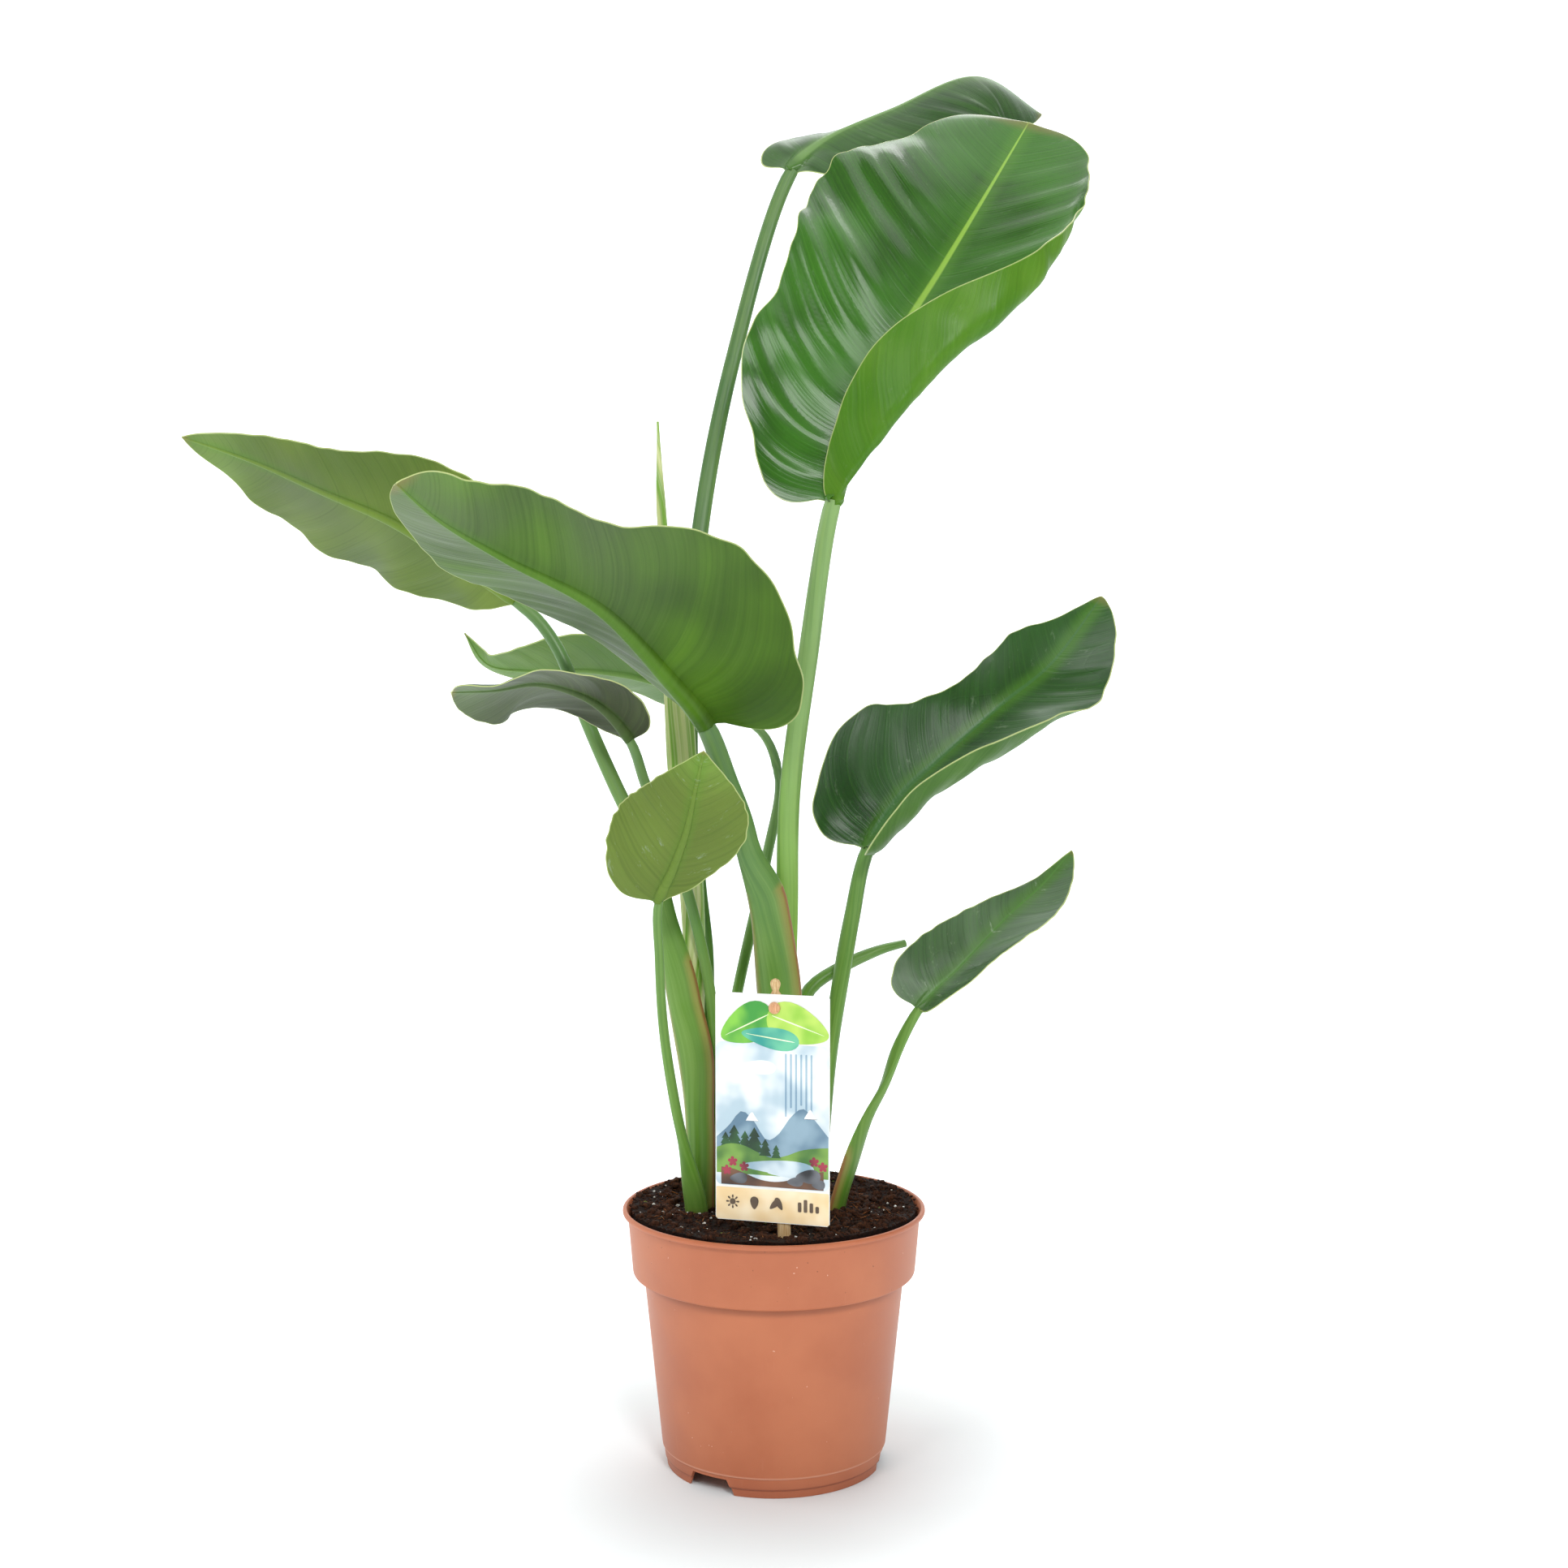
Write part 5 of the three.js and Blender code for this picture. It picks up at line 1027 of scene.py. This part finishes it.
def fir(x, base, size):
    """A fir tree of three tiers, the widest at the base."""
    tiers = ((size, base), (size * 0.8, base + size * 0.8), (size * 0.6, base + size * 1.6))
    return [[(x - w, z), (x + w, z), (x, z + 1.7 * w)] for w, z in tiers]


def label_inks():
    """The print's inks, each with two tones and its shapes as points across and up. Later inks lie
    over earlier ones."""
    left, right, bottom = CARD_LEFT + PRINT_MARGIN, CARD_RIGHT - PRINT_MARGIN, CARD_BOTTOM + PRINT_MARGIN
    hills = (left + 0.4, right - 0.4)
    return [
        ("tan_ink", "#F2D29C", "#FFECC8", [rounded_box(left, right, bottom, -121.5, 1)]),
        ("sky_ink", "#B6CCD8", "#EEF3F5", [rounded_box(left, right, -120, -24, 4)]),
        ("rain_ink", "#7F9EB6", "#A9C2D2", [
            rounded_box(x, x + 1.3, foot, -30, 0.6) for x, foot in (
                (7, -72), (10.5, -66), (14, -76), (17.5, -64), (21, -70), (24.5, -78))]),
        ("cloud_ink", "#FFFFFF", "#EDF2F4", [drop(-24, -44, 8, 22), drop(-12, -40, 9, 26)]),
        ("far_hill_ink", "#5F7F96", "#8FABBC", [
            ridge(*hills, -104, (-88, -80, -70, -76, -88, -84, -72, -66, -74, -84))]),
        ("snow_ink", "#F4F7F8", "#FFFFFF", [
            ridge(-20, -11, -76, (-76.2, -72.4, -70.3, -73.4, -76.2)),
            ridge(20, 29, -72.5, (-72.8, -69, -66.4, -70, -72.8))]),
        ("fir_ink", "#10301C", "#2F6430", [
            *fir(-34, -96, 4.5), *fir(-28, -95, 6), *fir(-20.5, -96, 5), *fir(-14, -97, 6.4),
            *fir(-6.5, -99, 4.4), *fir(1, -100, 3.4)]),
        ("meadow_ink", "#3C6E2C", "#7FA848", [
            ridge(*hills, -112, (-95, -92, -93, -97, -100, -98, -94, -92, -91))]),
        ("lake_ink", "#86A6B8", "#DCE8EE", [drop(2, -106, 9, 50), drop(10, -110, 5, 30)]),
        ("shore_ink", "#3A261C", "#7A5238", [
            ridge(left + 3.6, right - 3.6, -119.6,
                  (-108, -109, -112, -115, -116, -115, -112, -109, -107))]),
        ("stone_ink", "#1E1F24", "#7C7F86", [
            drop(23, -111, 9, 17, 1.5), drop(14, -115, 6, 11, 1.5), drop(30, -116, 6, 9, 1.5),
            drop(-25, -115, 7, 12, 1.5)]),
        ("flower_ink", "#5E1426", "#A83248", [
            petal for x, z in ((-29, -104), (-21, -107), (-33, -110), (27, -101), (33, -104))
            for petal in rays(x, z, 1.7, 2.2, 3.4, np.linspace(0.4, 5.4, 5))]),
        ("leaf_ink", "#3F9A3A", "#86CC46", [drop(-19, -12, 25, 40, 1.1)]),
        ("lime_ink", "#8CC83A", "#C6E46A", [drop(16, -11, 25, 44, -1.25)]),
        ("teal_ink", "#2F9A90", "#70C8A0", [drop(-3, -20, 14, 40, 1.7)]),
        ("vein_ink", "#DCEFB8", "#F4FAE0", [
            drop(-19, -12, 0.9, 34, 1.1), drop(16, -11, 0.9, 38, -1.25), drop(-3, -20, 0.8, 34, 1.7)]),
        ("brown_ink", "#4E3C2A", "#6A543E", [
            *rays(-29, -131, 3.4, 1.1, 2.4, np.linspace(0, 5.5, 8)),
            rounded_box(-31, -27, -133, -129, 1.9), drop(-14, -131, 5.5, 8.5, 0),
            drop(0, -131, 4, 9, 0.8), drop(3, -130.5, 4, 9, -0.5),
            *[rounded_box(16 + 4 * k, 18.4 + 4 * k, -135, -126.5 - 2 * abs(k - 1), 0.8)
              for k in range(4)]]),
    ]


def make_label():
    """Card with a plain generic print, pinned to its wooden stake by a turned peg."""
    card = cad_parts["label_card"]
    card.data.materials.clear()
    card.data.materials.append(coated_card())

    stake = lathe("beech_stake", rounded([
        (0, STAKE_BOTTOM, 0), (STAKE_RADIUS * 0.8, STAKE_BOTTOM + 12, 1),
        (STAKE_RADIUS, STAKE_BOTTOM + 20, 2), (STAKE_RADIUS, KNOB_HEIGHT - 8, 2),
        (STAKE_RADIUS * 0.45, KNOB_HEIGHT - 4.5, 1), (KNOB_RADIUS * 0.8, KNOB_HEIGHT - 2.6, 1),
        (KNOB_RADIUS, KNOB_HEIGHT, 1.5), (KNOB_RADIUS * 0.75, KNOB_HEIGHT + 2.6, 1.5),
        (0, KNOB_HEIGHT + KNOB_RADIUS, 0),
    ]), 40, [turned_wood("beech_stake", "#B98F58", "#E6CB9C")], 50)
    front = CARD_THICKNESS / 2 + FIT_GAP
    c, s = math.cos(math.radians(STAKE_TILT)), math.sin(math.radians(STAKE_TILT))

    def place_stake(points):
        x, y, z = points[:, 0], points[:, 1] * STAKE_DEPTH, points[:, 2]
        behind = front + STAKE_RADIUS * STAKE_DEPTH + 0.1
        return label_place(np.stack([x * c - z * s, y + behind, x * s + z * c], 1))

    move_points(stake, place_stake)
    stand_for(stake, "bare_wood", "label_stake")

    peg = lathe("turned_peg", rounded([
        (0, PEG_BACK, 0), (PEG_RADIUS, PEG_BACK, 0.4), (PEG_RADIUS, front, 0.2),
        (PEG_HEAD_RADIUS, front, 0.5), (PEG_HEAD_RADIUS, front + 1, 1.2),
        (PEG_HEAD_RADIUS * 0.7, front + 2.4, 1.2), (0, front + 3, 0),
    ]), 32, [turned_wood("turned_peg", "#C88A5C", "#EBBB92")], 50)
    move_points(peg, lambda p: label_place(np.stack([p[:, 0], -p[:, 2], p[:, 1]], 1)))
    stand_for(peg, "peg_wood", "label_peg")

    # Each ink is a thin film, and each film lies a little in front of the one before
    points, faces, materials, indices = [], [], [], []
    for number, (name, first, second, outlines) in enumerate(label_inks()):
        materials.append(printed_ink(name, first, second))
        for order, outline in enumerate(outlines):
            level = CARD_THICKNESS / 2 + INK_LIFT + INK_STEP * number + 0.002 * order
            faces.append(tuple(range(len(points), len(points) + len(outline))))
            points += [(x, -level, z) for x, z in outline]
            indices.append(number)
    made = mesh_object("label_print", label_place(points), faces, materials, indices=indices)
    stand_for(made, "printed_card")


def make_plant():
    """All leaves, the spear, the cut stalk and the finish of the roots."""
    skins = {name: (leaf_skin(name + "_leaf_top", deep, light, rib, rough, scuffs, True),
                    leaf_skin(name + "_leaf_underside", low, pale, pale, dull, scuffs, False))
             for name, (deep, light, low, pale, rib, rough, dull, scuffs) in SKINS.items()}
    plain = stalk_skin("living_stalk", "#5A8A22", "#5F8450", "#9A5A3C")
    stalks = {"leaf_1": stalk_skin("deep_green_stalk", "#4A7820", "#527844", "#9A5A3C"),
              "leaf_2": stalk_skin("bright_stalk", "#86BE1C", "#8CB06C", "#9A5A3C"),
              "leaf_4": stalk_skin("sheathed_stalk", "#5E8E1E", "#628A4C", "#8A4A30")}
    for number, leaf in enumerate(LEAVES, 1):
        name = leaf["name"]
        stand_for(blade(leaf, skins[leaf["skin"]], number), "leaf_blade", name + "_blade")
        stand_for(stalk(leaf, [stalks.get(name, plain)], number), "leaf_stalk", name + "_stalk")
    stand_for(stalk(SPEAR, [rolled_leaf_skin()], 20, SPEAR_SIDES), "young_leaf", "spear")
    stand_for(stalk(CUT_STALK, [plain, dry_cut_material()], 21), "leaf_stalk", "cut_stalk")
    root = crumbly("fleshy_root", "#A8916A", "#D8C79C", 120, 0.7)
    for name in ("rootstock_left", "rootstock_middle", "rootstock_right"):
        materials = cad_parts[name].data.materials
        materials.clear()
        materials.append(root)


def make_studio():
    """White sweep, soft lights and the camera. None of it is part of the plant."""
    white = Finish("white_sweep", "#F0F7F9")
    flat = node(white.tree, "ShaderNodeVectorMath", {0: white.place, 1: (1, 1, 0)},
                operation="MULTIPLY")
    away = node(white.tree, "ShaderNodeVectorMath", {0: flat.outputs[0]}, operation="LENGTH")
    # Painted light: the sweep glows more the further it lies from the pot, so the far floor and backdrop
    # show white while near the pot the floor is lit by the lamps alone
    material = white.done({
        "Roughness": 0.9, "Emission Color": linear("#FFFFFF"), "Specular IOR Level": 0.1,
        "Emission Strength": white.share((away.outputs["Value"], 0.08, 0.38, 0.0, 0.6))})
    profile = [(SWEEP_FRONT, 0), (SWEEP_BACK, 0)]
    profile += [(SWEEP_BACK + SWEEP_BEND * math.sin(a), SWEEP_BEND - SWEEP_BEND * math.cos(a))
                for a in np.linspace(0.1, math.pi / 2, 12)]
    profile += [(SWEEP_BACK + SWEEP_BEND, SWEEP_TOP)]
    points = [(x, y, z) for y, z in profile for x in (-SWEEP_SIDE, SWEEP_SIDE)]
    faces = [(2 * i, 2 * i + 1, 2 * i + 3, 2 * i + 2) for i in range(len(profile) - 1)]
    floor = mesh_object("white_sweep", points, faces, [material], crease=80)

    world = bpy.data.worlds.new("white_room")
    world.use_nodes = True
    background = world.node_tree.nodes["Background"].inputs
    background["Color"].default_value = (1, 1, 1, 1)
    background["Strength"].default_value = ROOM_LIGHT
    scene = bpy.context.scene
    scene.world = world

    for name, place, size, power in SOFTBOXES:
        data = bpy.data.lights.new(name, "AREA")
        data.size = size
        data.energy = power
        light = bpy.data.objects.new(name, data)
        light.location = place
        aim = Vector(LIGHT_AIM) - Vector(place)
        light.rotation_euler = aim.to_track_quat("-Z", "Y").to_euler()
        scene.collection.objects.link(light)

    data = bpy.data.cameras.new("camera")
    data.sensor_width = 36
    data.lens = LENS
    camera = bpy.data.objects.new("camera", data)
    camera.location = CAMERA_PLACE
    camera.rotation_euler = (math.radians(CAMERA_PITCH), 0, 0)
    scene.collection.objects.link(camera)
    scene.camera = camera
    scene.view_settings.view_transform = "Standard"


make_studio()
make_pot()
make_soil()
make_plant()
make_label()
